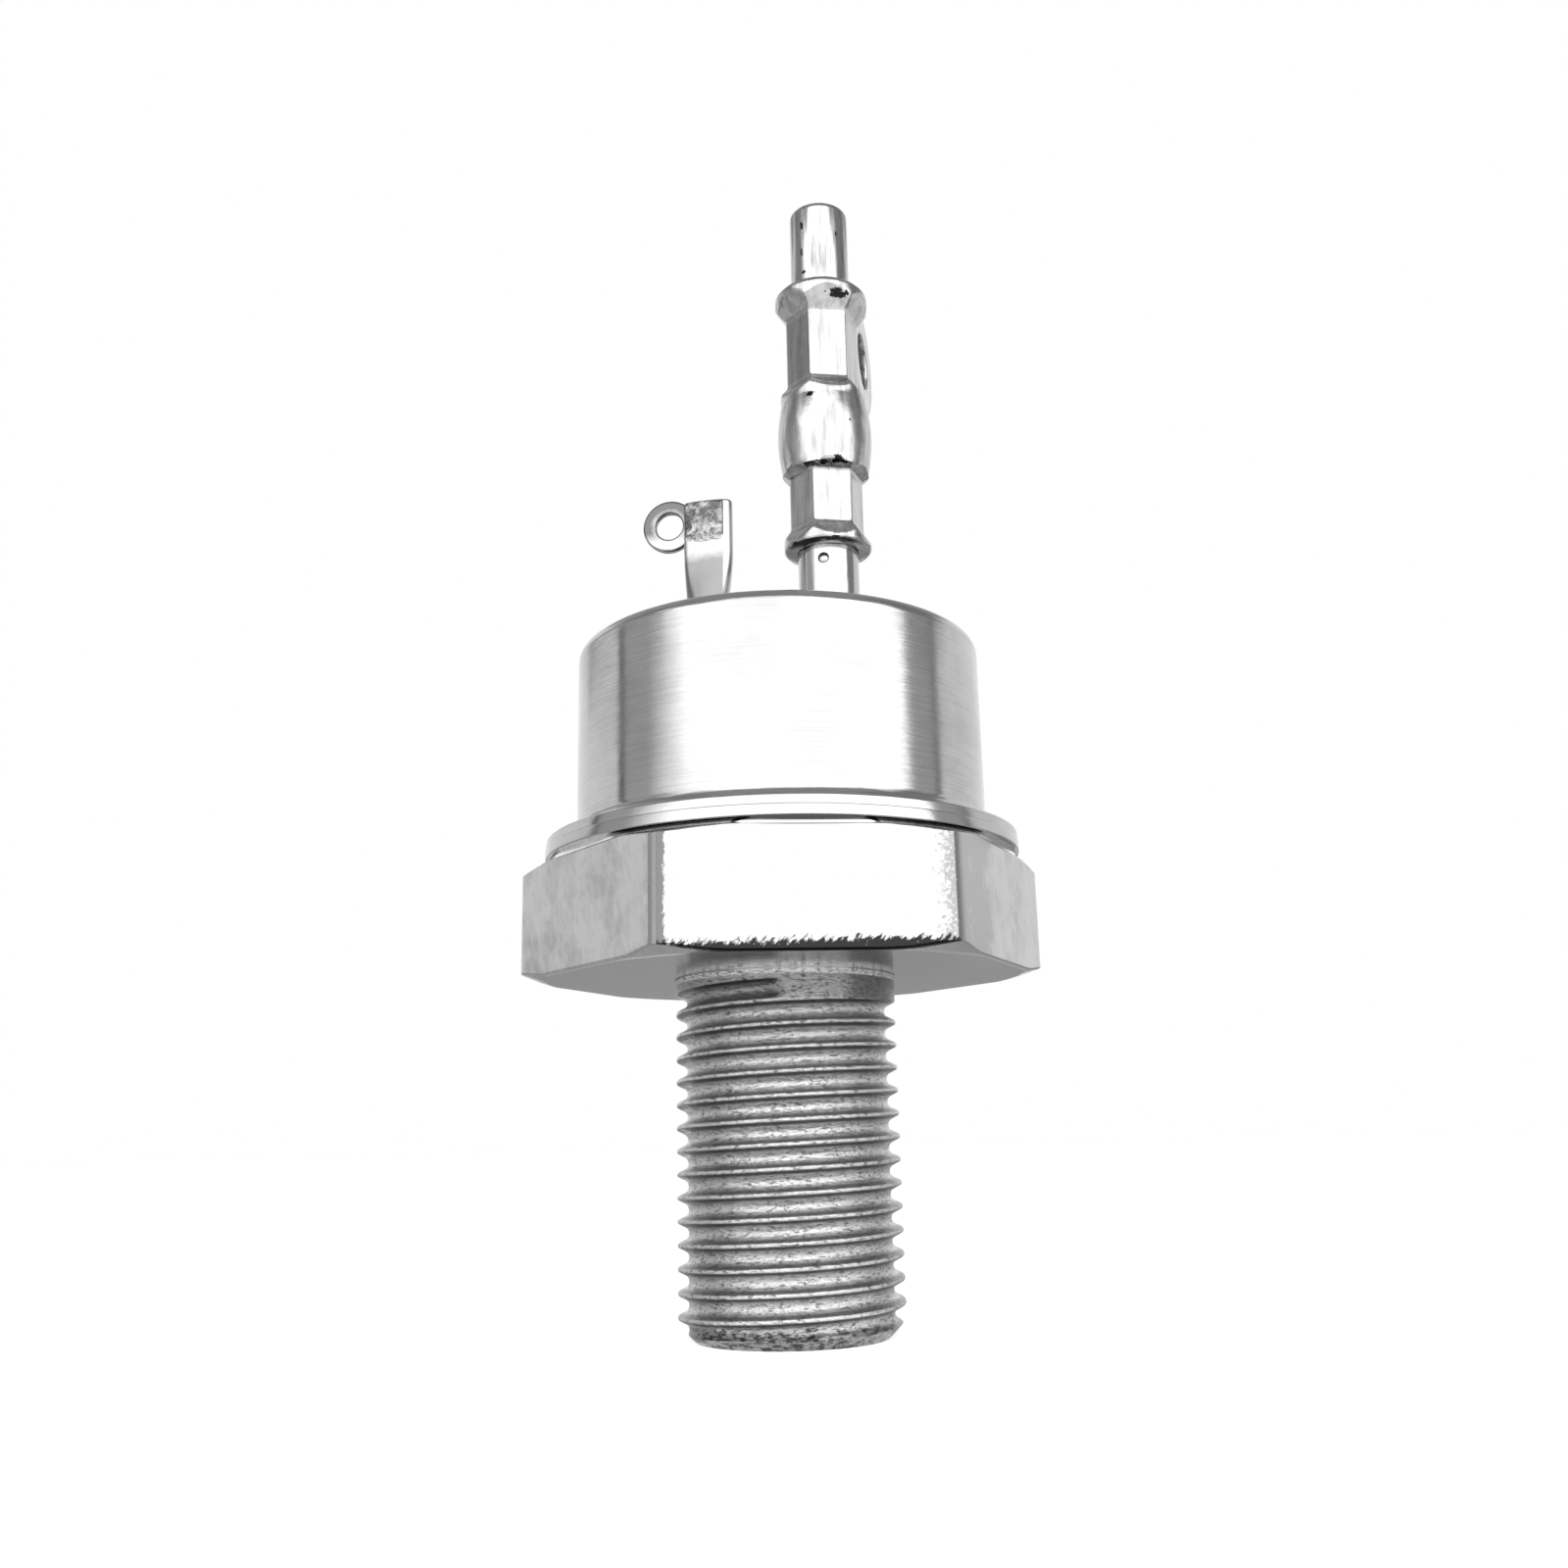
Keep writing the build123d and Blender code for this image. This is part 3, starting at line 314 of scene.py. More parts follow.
collar = add(tree, "Math", {0: collar, 1: under_hexagon}, operation="MULTIPLY")[0]
collar_dark = add(tree, "MapRange", {0: across, 1: 2.6, 2: 3.4, 3: 0.38, 4: 0.75})[0]
collar = add(tree, "Math", {0: collar, 1: collar_dark}, operation="MULTIPLY")[0]
chamfered = add(tree, "MapRange", {0: axes[2], 1: -18.75, 2: -18.95, 3: 0.0, 4: 0.6})[0]
ends = add(tree, "Math", {0: collar, 1: chamfered}, operation="ADD")[0]
darker = add(tree, "Math", {0: flank_shade, 1: ends}, operation="MAXIMUM")[0]
rim_bright = add(tree, "MapRange", {0: axes[2], 1: -0.32, 2: -0.26})[0]
lit = add(tree, "Mix", {0: rim_bright, 6: linear("#D2D2D2"), 7: linear("#EAEAEA")},
          data_type="RGBA")[2]
metal = add(tree, "Mix", {0: darker, 6: lit, 7: linear("#505050")}, data_type="RGBA")[2]
thread_colour = add(tree, "Mix", {0: dirty, 6: metal, 7: linear("#3A3A3A")}, data_type="RGBA")[2]
thread_rough = add(tree, "MapRange", {0: speckle, 1: 0.35, 2: 0.65, 3: 0.06, 4: 0.2})[0]
threaded = add(tree, "Math", {0: axes[2], 1: -0.05}, operation="LESS_THAN")[0]
colour = add(tree, "Mix", {0: threaded, 6: flats_colour, 7: thread_colour}, data_type="RGBA")[2]
rough = add(tree, "Mix", {0: threaded, 2: flats_rough, 3: thread_rough})[0]
flats_bump = add(tree, "Bump", {"Height": scuff, "Distance": 0.000005, "Strength": 1.0})[0]
thread_bump = add(tree, "Bump", {"Height": torn, "Distance": 0.00009, "Strength": 1.0})[0]
bump = add(tree, "Mix", {0: threaded, 4: flats_bump, 5: thread_bump}, data_type="VECTOR")[1]
shader = add(tree, "BsdfPrincipled", {"Base Color": colour, "Metallic": 1.0, "Roughness": rough,
                                      "Normal": bump})[0]
add(tree, "OutputMaterial", {0: shader})
finished(base, "threaded_base", plate, "stud_base")


# Weld ring: bright nickel-plated steel ring brazed on the base's washer face.
# The cap's flange is welded on it, and its rounded rim stands just past the flange.
ring_bore_r, ring_r, washer_top, ring_top = 11.4, 13.9, 6.8, 7.4
weld_ring = bmesh.new()
outlined(weld_ring, ((ring_bore_r, washer_top, 0), (ring_r, washer_top, 0.06),
                     (ring_r, ring_top, 0.03), (ring_bore_r, ring_top, 0)))
spun(weld_ring, steps=240)
# Bright nickel on steel: a clear mirror, faintly clouded in patches of about 1.5 mm.
bright, tree = blank_material("bright_nickel")
place = add(tree, "TexCoord", {})["Object"]
mm = add(tree, "VectorMath", {0: place, "Scale": 1000}, operation="SCALE")[0]
cloud = add(tree, "TexNoise", {"Vector": mm, "Scale": 0.6, "Detail": 4.0})[0]
colour = add(tree, "Mix", {0: cloud, 6: linear("#B9B9B9"), 7: linear("#ACACAC")},
             data_type="RGBA")[2]
rough = add(tree, "MapRange", {0: cloud, 1: 0.3, 2: 0.7, 3: 0.08, 4: 0.2})[0]
fine = add(tree, "TexNoise", {"Vector": mm, "Scale": 4.0, "Detail": 3.0})[0]
bump = add(tree, "Bump", {"Height": fine, "Distance": 0.000003, "Strength": 1.0})[0]
shader = add(tree, "BsdfPrincipled", {"Base Color": colour, "Metallic": 1.0, "Roughness": rough,
                                      "Normal": bump})[0]
add(tree, "OutputMaterial", {0: shader})
finished(weld_ring, "weld_ring_rim", bright, "weld_ring", smooth=40)


# Cap: steel can drawn from sheet, with a weld flange at its foot and a lip round the glass.
# It is welded on the ring, and its plate was brushed while it turned.
flange_r, cap_r, cap_bore_r, lip_r, lip_bore_r = 13.85, 12.07, 11.47, 8.4, 7.8
flange_top, cap_ceiling, cap_top, lip_top = 7.95, 19.15, 19.75, 20.4
cap = bmesh.new()
outlined(cap, ((cap_bore_r, ring_top, 0), (flange_r, ring_top, 0.03), (flange_r, flange_top, 0.12),
               (cap_r, flange_top, 1.0), (cap_r, cap_top, 0.85), (lip_r, cap_top, 0.4),
               (lip_r, lip_top, 0.18), (lip_bore_r, lip_top, 0.18),
               (lip_bore_r, cap_ceiling, 0.3), (cap_bore_r, cap_ceiling, 0.1)), segments=8)
spun(cap, steps=288)
# Brushed nickel: reflections stay sharp round the can and smear up it. The lines are 4 mm long and
# 0.1 mm wide, coarser than real ones so that they show, with waves of 2 by 0.4 mm and 4 mm smudges.
brushed, tree = blank_material("brushed_nickel")
place = add(tree, "TexCoord", {})["Object"]
mm = add(tree, "VectorMath", {0: place, "Scale": 1000}, operation="SCALE")[0]
lines = add(tree, "Mapping", {0: mm, "Scale": (0.25, 0.25, 11.0)})[0]
brushing = add(tree, "TexNoise", {"Vector": lines, "Scale": 1.0, "Detail": 4.0,
                                  "Roughness": 0.6})[0]
waves = add(tree, "Mapping", {0: mm, "Scale": (0.5, 0.5, 2.5)})[0]
waviness = add(tree, "TexNoise", {"Vector": waves, "Scale": 1.0, "Detail": 3.0,
                                  "Roughness": 0.6})[0]
smudge = add(tree, "TexNoise", {"Vector": mm, "Scale": 0.25, "Detail": 5.0, "Roughness": 0.6})[0]
combed = add(tree, "Math", {0: brushing, 1: 0.8, 2: smudge}, operation="MULTIPLY_ADD")[0]
tone = add(tree, "MapRange", {0: combed, 1: 0.72, 2: 1.08})[0]
colour = add(tree, "Mix", {0: tone, 6: linear("#BCBCBC"), 7: linear("#AAAAAA")},
             data_type="RGBA")[2]
rough = add(tree, "MapRange", {0: smudge, 1: 0.35, 2: 0.7, 3: 0.10, 4: 0.2})[0]
relief = add(tree, "Math", {0: waviness, 1: 1.6, 2: brushing}, operation="MULTIPLY_ADD")[0]
bump = add(tree, "Bump", {"Height": relief, "Distance": 0.000006, "Strength": 1.0})[0]
shader = add(tree, "BsdfPrincipled", {"Base Color": colour, "Metallic": 1.0, "Roughness": rough,
                                      "Normal": bump})[0]
add(tree, "OutputMaterial", {0: shader})
finished(cap, "cap_can", brushed, "cap_shell")


# Cathode tube: nickelled steel tube sealed into the glass, open on top, with a small solder hole
# near its foot. The lug is crimped round it, so it is squeezed to a hexagon at both crimps.
cathode_x, crimp_turn = 3.3, 8.3
tube_r, tube_bore_r, tube_foot, tube_top = 1.875, 1.375, 18.9, 50.1
tube_flat_r, tube_bore_flat_r = 1.27, 0.77
crimp_rotation = Matrix.Rotation(math.radians(crimp_turn), 3, "Z")
# Foot and top of each crimp, and how far the metal flares below and above it
crimps = ((27.75, 31.25, 1.35, 0.4), (37.5, 42.1, 1.2, 1.3))


def crimped(verts, round_r, flat_r, sharpness=70):
    """Presses a round on the cathode's axis to a hexagon at both crimps, flared beyond them."""
    for vert in verts:
        x, y, z = vert.co.x - cathode_x, vert.co.y, vert.co.z
        radius, angle = math.hypot(x, y), math.degrees(math.atan2(y, x))
        off_flat = math.radians((angle - crimp_turn) % 60 - 30)
        total = radius ** -sharpness
        for low, high, below, above in crimps:
            past = max((low - z) / below, (z - high) / above, 0)
            flat = flat_r + (round_r * 1.02 - flat_r) * (past * 0.9 if past < 1 else past)
            for turn in (-60, 0, 60):
                total += (math.cos(off_flat + math.radians(turn)) / flat) ** sharpness
        pressed = total ** (-1 / sharpness)
        vert.co.x = cathode_x + x * pressed / radius
        vert.co.y = y * pressed / radius


# Rows stand close together round the solder hole and along both crimps
heights = [tube_foot, 20.0, 24.3] + [24.6 + 0.1 * i for i in range(17)]
heights += [26.5 + 0.25 * i for i in range(68)] + [44.0, 46.0]
outside = [(tube_r, z, 0) for z in heights]
mouth = [(tube_r, tube_top, 0.45), (tube_bore_r, tube_top, 0.12)]
inside = [(tube_bore_r, z, 0) for z in reversed(heights)]
tube = bmesh.new()
outlined(tube, outside + mouth + inside, middle=cathode_x, segments=6)
bmesh.ops.rotate(tube, cent=(cathode_x, 0, 0), matrix=crimp_rotation, verts=tube.verts)
spun(tube, middle=cathode_x, steps=144)
in_wall, above_crimps = 1.6, 45.7
pressed = [v for v in tube.verts if v.co.z < above_crimps]
outer = [v for v in pressed if math.hypot(v.co.x - cathode_x, v.co.y) > in_wall]
inner = [v for v in pressed if math.hypot(v.co.x - cathode_x, v.co.y) < in_wall]
crimped(outer, tube_r, tube_flat_r)
crimped(inner, tube_bore_r, tube_bore_flat_r)
# Solder hole in front, with a bead of solder just below the tube's surface
vent_z, vent_r, vent_turn, bead_r = 25.4, 0.35, math.radians(-12), 1.62
vent_out = Vector((math.sin(vent_turn), -math.cos(vent_turn), 0))
vent_side = Vector((-vent_out.y, vent_out.x, 0))
drilled = []
for face in tube.faces:
    away = face.calc_center_median() - Vector((cathode_x, 0, vent_z))
    if away.dot(vent_out) > 0 and math.hypot(away.dot(vent_side), away.z) < vent_r:
        drilled.append(face)
bmesh.ops.delete(tube, geom=drilled, context="FACES")
rims = [e for e in tube.edges if e.is_boundary]
for vert in {v for e in rims for v in e.verts}:
    away = vert.co - Vector((cathode_x, 0, vent_z))
    sideways, wall_r = away.dot(vent_side), math.hypot(away.x, away.y)
    grow = vent_r / math.hypot(sideways, away.z)
    deep = math.sqrt(wall_r ** 2 - (sideways * grow) ** 2)
    on_axis = Vector((cathode_x, 0, vent_z + away.z * grow))
    vert.co = on_axis + vent_side * sideways * grow + vent_out * deep
bmesh.ops.bridge_loops(tube, edges=rims)
bead = Matrix((vent_side, Vector((0, 0, 1)), vent_out)).transposed().to_4x4()
bead.translation = Vector((cathode_x, 0, vent_z)) + vent_out * bead_r
bmesh.ops.create_uvsphere(tube, u_segments=24, v_segments=14, radius=vent_r - 0.01,
                          matrix=bead @ Matrix.Diagonal((1, 1, 0.6, 1)))
bmesh.ops.recalc_face_normals(tube, faces=tube.faces)


def ragged_spots(tree, mm, spots):
    """Mask of ragged dark spots, each given by its place, half width and half height in
    millimetres.
    """
    ragged = add(tree, "TexNoise", {"Vector": mm, "Scale": 2.4, "Detail": 4.0, "Roughness": 0.7})[0]
    torn = add(tree, "MapRange", {0: ragged, 1: 0.3, 2: 0.7, 3: -0.35, 4: 0.35})[0]
    spotted = 0.0
    for spot, wide, tall in spots:
        from_spot = add(tree, "VectorMath", {0: mm, 1: spot}, operation="SUBTRACT")[0]
        drawn_in = add(tree, "VectorMath", {0: from_spot, 1: (1 / wide, 1 / wide, 1 / tall)},
                       operation="MULTIPLY")[0]
        away = add(tree, "VectorMath", {0: drawn_in}, operation="LENGTH")["Value"]
        near = add(tree, "MapRange", {0: away, 1: 1.7, 2: 0.6})[0]
        spotted = add(tree, "Math", {0: spotted, 1: near}, operation="MAXIMUM")[0]
    deep = add(tree, "Math", {0: spotted, 1: 0.7, 2: torn}, operation="MULTIPLY_ADD")[0]
    return add(tree, "MapRange", {0: deep, 1: 0.5, 2: 0.6})[0]


# Bright nickel on drawn steel: a clear mirror with faint streaks along the tube, 4 mm long and
# 0.3 mm wide, stained and nicked at the tip.
tube_plate, tree = blank_material("tube_nickel")
place = add(tree, "TexCoord", {})["Object"]
mm = add(tree, "VectorMath", {0: place, "Scale": 1000}, operation="SCALE")[0]
drawn = add(tree, "Mapping", {0: mm, "Location": (-2.1, 0.5, 0.0), "Scale": (3.0, 3.0, 0.25)})[0]
streaks = add(tree, "TexNoise", {"Vector": drawn, "Scale": 1.0, "Detail": 4.0, "Roughness": 0.6})[0]
on_tip = add(tree, "MapRange", {0: add(tree, "SeparateXYZ", {0: mm})[2], 1: 44.0, 2: 45.5})[0]
stained = add(tree, "MapRange", {0: streaks, 1: 0.5, 2: 0.66, 3: 0.0, 4: 0.75})[0]
stain = add(tree, "Math", {0: stained, 1: on_tip}, operation="MULTIPLY")[0]
chip = ragged_spots(tree, mm, (((2.16, -1.49, 48.5), 0.13, 0.32), ((2.2, -1.52, 45.1), 0.2, 0.13),
                       ((4.34, -1.56, 47.8), 0.09, 0.25), ((2.1, -1.45, 46.6), 0.07, 0.3)))
plain = add(tree, "Mix", {0: stain, 6: linear("#BABABA"), 7: linear("#7C7C7C")},
            data_type="RGBA")[2]
colour = add(tree, "Mix", {0: chip, 6: plain, 7: linear("#2C2C2C")}, data_type="RGBA")[2]
rough = add(tree, "MapRange", {0: streaks, 1: 0.35, 2: 0.7, 3: 0.08, 4: 0.2})[0]
bump = add(tree, "Bump", {"Height": streaks, "Distance": 0.00001, "Strength": 1.0})[0]
shader = add(tree, "BsdfPrincipled", {"Base Color": colour, "Metallic": 1.0, "Roughness": rough,
                                      "Normal": bump})[0]
add(tree, "OutputMaterial", {0: shader})
finished(tube, "cathode_tube_wall", tube_plate, "cathode_tube")


# Cathode lug: thick copper sleeve under tin-nickel plate, pressed onto the tube by two crimps,
# which leave six flats, flared ends and a swelled barrel between them.
# Its flag, a plate with an eye, stands out behind it on the right.
sleeve_foot, sleeve_top, sleeve_bore_r = 26.35, 44.05, 1.905
waist_r, swell, sleeve_r, top_r = 2.72, 0.25, 2.97, 2.705
waist_foot, barrel_foot, barrel_top, land_foot = 26.5, 31.65, 36.3, 42.1
sleeve_flat_r, sleeve_bore_flat_r = 2.02, 1.3
# Up the outside: chamfered foot, waist, swelled barrel, widening upper crimp, land and top cone
outer_line = [(2.57, sleeve_foot), (waist_r, waist_foot)]
outer_line += [(waist_r, waist_foot + 0.2 * i) for i in range(1, 26)]
barrel, upper_crimp = barrel_top - barrel_foot, land_foot - barrel_top
outer_line += [(waist_r + swell * math.sin(math.pi * i / 24), barrel_foot + barrel * i / 24)
               for i in range(24)]
outer_line += [(waist_r + swell * i / 30, barrel_top + upper_crimp * i / 30) for i in range(31)]
outer_line += [(sleeve_r, land_foot + 0.2 * i) for i in range(1, 7)]
outer_line += [(sleeve_r, 43.38), (sleeve_r, 43.44), (sleeve_r, 43.55)]
profile = [(r, z, 0) for r, z in outer_line]
profile += [(sleeve_r, 43.75, 0.1), (top_r, sleeve_top, 0.06), (sleeve_bore_r, sleeve_top, 0)]
profile += [(sleeve_bore_r, sleeve_top - 0.3 * i, 0) for i in range(1, 60)]
sleeve = bmesh.new()
outlined(sleeve, profile, middle=cathode_x, segments=5)
bmesh.ops.rotate(sleeve, cent=(cathode_x, 0, 0), matrix=crimp_rotation, verts=sleeve.verts)
spun(sleeve, middle=cathode_x)
in_wall = 2.0
outer = [v for v in sleeve.verts if math.hypot(v.co.x - cathode_x, v.co.y) > in_wall]
inner = [v for v in sleeve.verts if math.hypot(v.co.x - cathode_x, v.co.y) <= in_wall]
crimped(outer, sleeve_r, sleeve_flat_r)
crimped(inner, sleeve_bore_r, sleeve_bore_flat_r)


def stamped_eye(rim_r, eye_r, tail, half_tail, thickness, rounding, place, axes, segments, steps):
    """Eye stamped from sheet with a straight tail to x = tail, stood up at its place."""
    bm = bmesh.new()
    rim = bmesh.ops.create_circle(bm, cap_ends=False, radius=rim_r, segments=segments)["verts"]
    bmesh.ops.create_circle(bm, cap_ends=False, radius=eye_r, segments=segments)
    bmesh.ops.bridge_loops(bm, edges=bm.edges[:])
    for vert in rim:
        if vert.co.x * tail > 0 and abs(vert.co.y) < half_tail:
            vert.co.x = tail
    grown = bmesh.ops.extrude_face_region(bm, geom=bm.faces[:])["geom"]
    raised = [v for v in grown if isinstance(v, bmesh.types.BMVert)]
    bmesh.ops.translate(bm, vec=(0, 0, thickness), verts=raised)
    bmesh.ops.recalc_face_normals(bm, faces=bm.faces)
    sharp = [e for e in bm.edges if e.is_manifold and e.calc_face_angle() > 1.2]
    bmesh.ops.bevel(bm, geom=sharp, offset=rounding, segments=steps, profile=0.5,
                    affect="EDGES", material=-1)
    stand = Matrix(axes).transposed().to_4x4()
    bmesh.ops.transform(bm, matrix=Matrix.Translation(place) @ stand, verts=bm.verts)
    return bm


flag_turn, flag_out, flag_reach, flag_z = math.radians(13), 1.0, 4.9, 42.0
along = Vector((math.sin(flag_turn), math.cos(flag_turn), 0))
out = Vector((math.cos(flag_turn), -math.sin(flag_turn), 0))
flag_eye = Vector((cathode_x, 0, flag_z)) + out * flag_out + along * flag_reach
joined(sleeve, stamped_eye(rim_r=3.7, eye_r=1.85, tail=-3.6, half_tail=2.0, thickness=0.9,
                           rounding=0.15, place=flag_eye, axes=(along, Vector((0, 0, 1)), out),
                           segments=96, steps=4))
bmesh.ops.recalc_face_normals(sleeve, faces=sleeve.faces)
# Tin-nickel on copper: a soft mirror, streaked lengthwise by the crimping jaws in lines 4 mm long
# and 0.4 mm wide, with black nicks where their edges bit, and a band of painted shade on the land.
lug_plate, tree = blank_material("tin_nickel")
place = add(tree, "TexCoord", {})["Object"]
mm = add(tree, "VectorMath", {0: place, "Scale": 1000}, operation="SCALE")[0]
grain = add(tree, "TexNoise", {"Vector": mm, "Scale": 1.5, "Detail": 6.0, "Roughness": 0.7})[0]
# The last two spots are a band of painted shade across the land; the others are nicks
nicks_and_step_shade = ragged_spots(tree, mm, (((3.2, -2.7, 31.4), 0.5, 0.16), ((3.9, -2.7, 31.5), 0.5, 0.34),
                        ((4.5, -2.5, 31.3), 0.4, 0.22), ((2.35, -2.55, 35.95), 0.2, 0.16),
                        ((4.75, -2.5, 34.2), 0.12, 0.12), ((5.1, -1.6, 40.0), 0.18, 0.2),
                        ((4.35, -2.75, 42.95), 0.8, 0.3), ((1.9, -2.2, 43.2), 0.3, 0.1)))
drawn = add(tree, "Mapping", {0: mm, "Scale": (2.4, 2.4, 0.25)})[0]
streaks = add(tree, "TexNoise", {"Vector": drawn, "Scale": 1.0, "Detail": 4.0, "Roughness": 0.6})[0]
streaked = add(tree, "MapRange", {0: streaks, 1: 0.42, 2: 0.66})[0]
plain = add(tree, "Mix", {0: streaked, 6: linear("#BDBDBD"), 7: linear("#9C9C9C")},
            data_type="RGBA")[2]
colour = add(tree, "Mix", {0: nicks_and_step_shade, 6: plain, 7: linear("#262626")}, data_type="RGBA")[2]
rough = add(tree, "MapRange", {0: grain, 1: 0.35, 2: 0.7, 3: 0.08, 4: 0.22})[0]
dented = add(tree, "Math", {0: nicks_and_step_shade, 1: -2.0, 2: grain}, operation="MULTIPLY_ADD")[0]
bump = add(tree, "Bump", {"Height": dented, "Distance": 0.00002, "Strength": 1.0})[0]
shader = add(tree, "BsdfPrincipled", {"Base Color": colour, "Metallic": 1.0, "Roughness": rough,
                                      "Normal": bump})[0]
add(tree, "OutputMaterial", {0: shader})
finished(sleeve, "cathode_lug_body", lug_plate, "cathode_lug")


# Gate tube: thin nickelled tube, round where it leaves the glass and pinched flat above it,
# crumpled where the pliers closed it.
gate_x, gate_turn = -4.25, math.radians(12)
gate_foot, gate_top, gate_r, gate_wall, mouth_round = 18.9, 29.9, 1.2, 0.3, 0.1
round_top, neck_length = 21.5, 5.1
flat_half, flat_reach, flat_shift = 0.575, 0.975, 0.1
gate_side = Vector((math.cos(gate_turn), -math.sin(gate_turn), 0))
gate_front = Vector((-math.sin(gate_turn), -math.cos(gate_turn), 0))
# Depth in the wall and height of each row: up the outside, over the mouth and down the bore
mouth_foot = gate_top - mouth_round
rows = [(0.0, gate_foot)] + [(0.0, gate_foot + 0.25 * i) for i in range(1, 44)]
rows += [(0.0, mouth_foot), (0.06, gate_top - 0.02), (gate_wall / 2, gate_top),
         (0.24, gate_top - 0.02), (gate_wall, mouth_foot)]
rows += [(gate_wall, mouth_foot - 0.4 * i) for i in range(1, 26)]
gate = bmesh.new()
bmesh.ops.create_circle(gate, cap_ends=False, radius=1, segments=72)
ring = gate.edges[:]
for _ in rows[1:]:
    ring, top = drawn_out(gate, ring)
    bmesh.ops.translate(gate, vec=(0, 0, 1), verts=top)
for vert in gate.verts:
    inset, z = rows[int(round(vert.co.z))]
    angle = math.atan2(vert.co.y, vert.co.x)
    cos, sin = math.cos(angle), math.sin(angle)
    share = min(1.0, max(0.0, (z - round_top) / neck_length))
    share = share * share * (3 - 2 * share)
    flat_side = flat_reach * max(-1.0, min(1.0, 1.5 * cos)) + (flat_half - inset) * cos
    side = (gate_r - inset) * cos * (1 - share) + (flat_side + flat_shift) * share
    front = (gate_r - inset) * sin * (1 - share) + (flat_half - inset) * sin * share
    vert.co = Vector((gate_x, 0, z)) + gate_side * side + gate_front * front
bmesh.ops.bridge_loops(gate, edges=[e for e in gate.edges if e.is_boundary])
bmesh.ops.recalc_face_normals(gate, faces=gate.faces)
# Tinned over nickel and dulled by heat: light grey on the flat, with a painted highlight along the
# rolled edge and on the bend, and painted light and shade in crumpled folds of about 0.8 mm where
# it was pinched.
tinned, tree = blank_material("tinned_tube")
place = add(tree, "TexCoord", {})["Object"]
mm = add(tree, "VectorMath", {0: place, "Scale": 1000}, operation="SCALE")[0]
high = add(tree, "SeparateXYZ", {0: mm})[2]
from_axis = add(tree, "VectorMath", {0: mm, 1: (gate_x, 0, 0)}, operation="SUBTRACT")[0]
aside = add(tree, "VectorMath", {0: from_axis, 1: gate_side}, operation="DOT_PRODUCT")["Value"]
waves = add(tree, "TexNoise", {"Vector": mm, "Scale": 1.3, "Detail": 4.0, "Roughness": 0.65})[0]
wavy = add(tree, "Math", {0: waves, 1: 0.9, 2: high}, operation="MULTIPLY_ADD")[0]
# Painted highlight on the bend and along the rolled edge
bend = add(tree, "MapRange", {0: wavy, 1: 26.3, 2: 27.0})[0]
pinched = add(tree, "MapRange", {0: wavy, 1: 27.65, 2: 28.15})[0]
rolled_edge = add(tree, "MapRange", {0: aside, 1: 1.1, 2: 1.18})[0]
painted_shine = add(tree, "Math", {0: bend, 1: rolled_edge}, operation="MAXIMUM")[0]
# Painted light and shade on the crumpled folds, from the same noise as their bump
crumple = add(tree, "MapRange", {0: waves, 1: 0.46, 2: 0.66, 3: 0.0, 4: 1.0})[0]
patchy = add(tree, "Mix", {0: crumple, 6: linear("#5E5E5E"), 7: linear("#B4B4B4")},
             data_type="RGBA")[2]
tin = add(tree, "Mix", {0: waves, 6: linear("#898989"), 7: linear("#818181")}, data_type="RGBA")[2]
lit = add(tree, "Mix", {0: painted_shine, 6: tin, 7: linear("#B6B6B6")}, data_type="RGBA")[2]
not_edge = add(tree, "Math", {0: 1.0, 1: rolled_edge}, operation="SUBTRACT")[0]
worked = add(tree, "Math", {0: pinched, 1: not_edge}, operation="MULTIPLY")[0]
colour = add(tree, "Mix", {0: worked, 6: lit, 7: patchy}, data_type="RGBA")[2]
rough = add(tree, "MapRange", {0: worked, 3: 0.24, 4: 0.2})[0]
folds = add(tree, "Math", {0: waves, 1: worked}, operation="MULTIPLY")[0]
bump = add(tree, "Bump", {"Height": folds, "Distance": 0.00025, "Strength": 1.0})[0]
shader = add(tree, "BsdfPrincipled", {"Base Color": colour, "Metallic": 1.0, "Roughness": rough,
                                      "Normal": bump})[0]
add(tree, "OutputMaterial", {0: shader})
finished(gate, "gate_tube_wall", tinned, "gate_tube")


# Gate lug: small eye stamped from steel sheet and tinned.
# Its tongue is welded to the flattened tube's back, behind the pinched part.
eye_z, eye_reach, lug_thickness = 28.9, 2.72, 0.55
eye = Vector((gate_x, 0, eye_z)) + gate_side * (flat_shift - eye_reach)
eye -= gate_front * (flat_half + lug_thickness)
gate_lug = stamped_eye(rim_r=1.72, eye_r=0.87, tail=3.7, half_tail=0.9, thickness=lug_thickness,
                       rounding=0.18, place=eye, axes=(gate_side, Vector((0, 0, 1)), gate_front),
                       segments=72, steps=5)
# Tin on steel, with painted shade over the eye's upper part, strongest on its outer rim, lighter
# towards the hole and below it, with a grain of about 1 mm.
eye_plate, tree = blank_material("eye_tin")
place = add(tree, "TexCoord", {})["Object"]
mm = add(tree, "VectorMath", {0: place, "Scale": 1000}, operation="SCALE")[0]
from_eye = add(tree, "VectorMath", {0: mm, 1: eye}, operation="DISTANCE")["Value"]
grain = add(tree, "TexNoise", {"Vector": mm, "Scale": 1.2, "Detail": 4.0, "Roughness": 0.6})[0]
spread = add(tree, "Math", {0: grain, 1: 0.5, 2: from_eye}, operation="MULTIPLY_ADD")[0]
outer = add(tree, "MapRange", {0: spread, 1: 1.35, 2: 1.6, 3: 0.35, 4: 1.0})[0]
upper = add(tree, "MapRange", {0: add(tree, "SeparateXYZ", {0: mm})[2], 1: 27.9, 2: 28.5})[0]
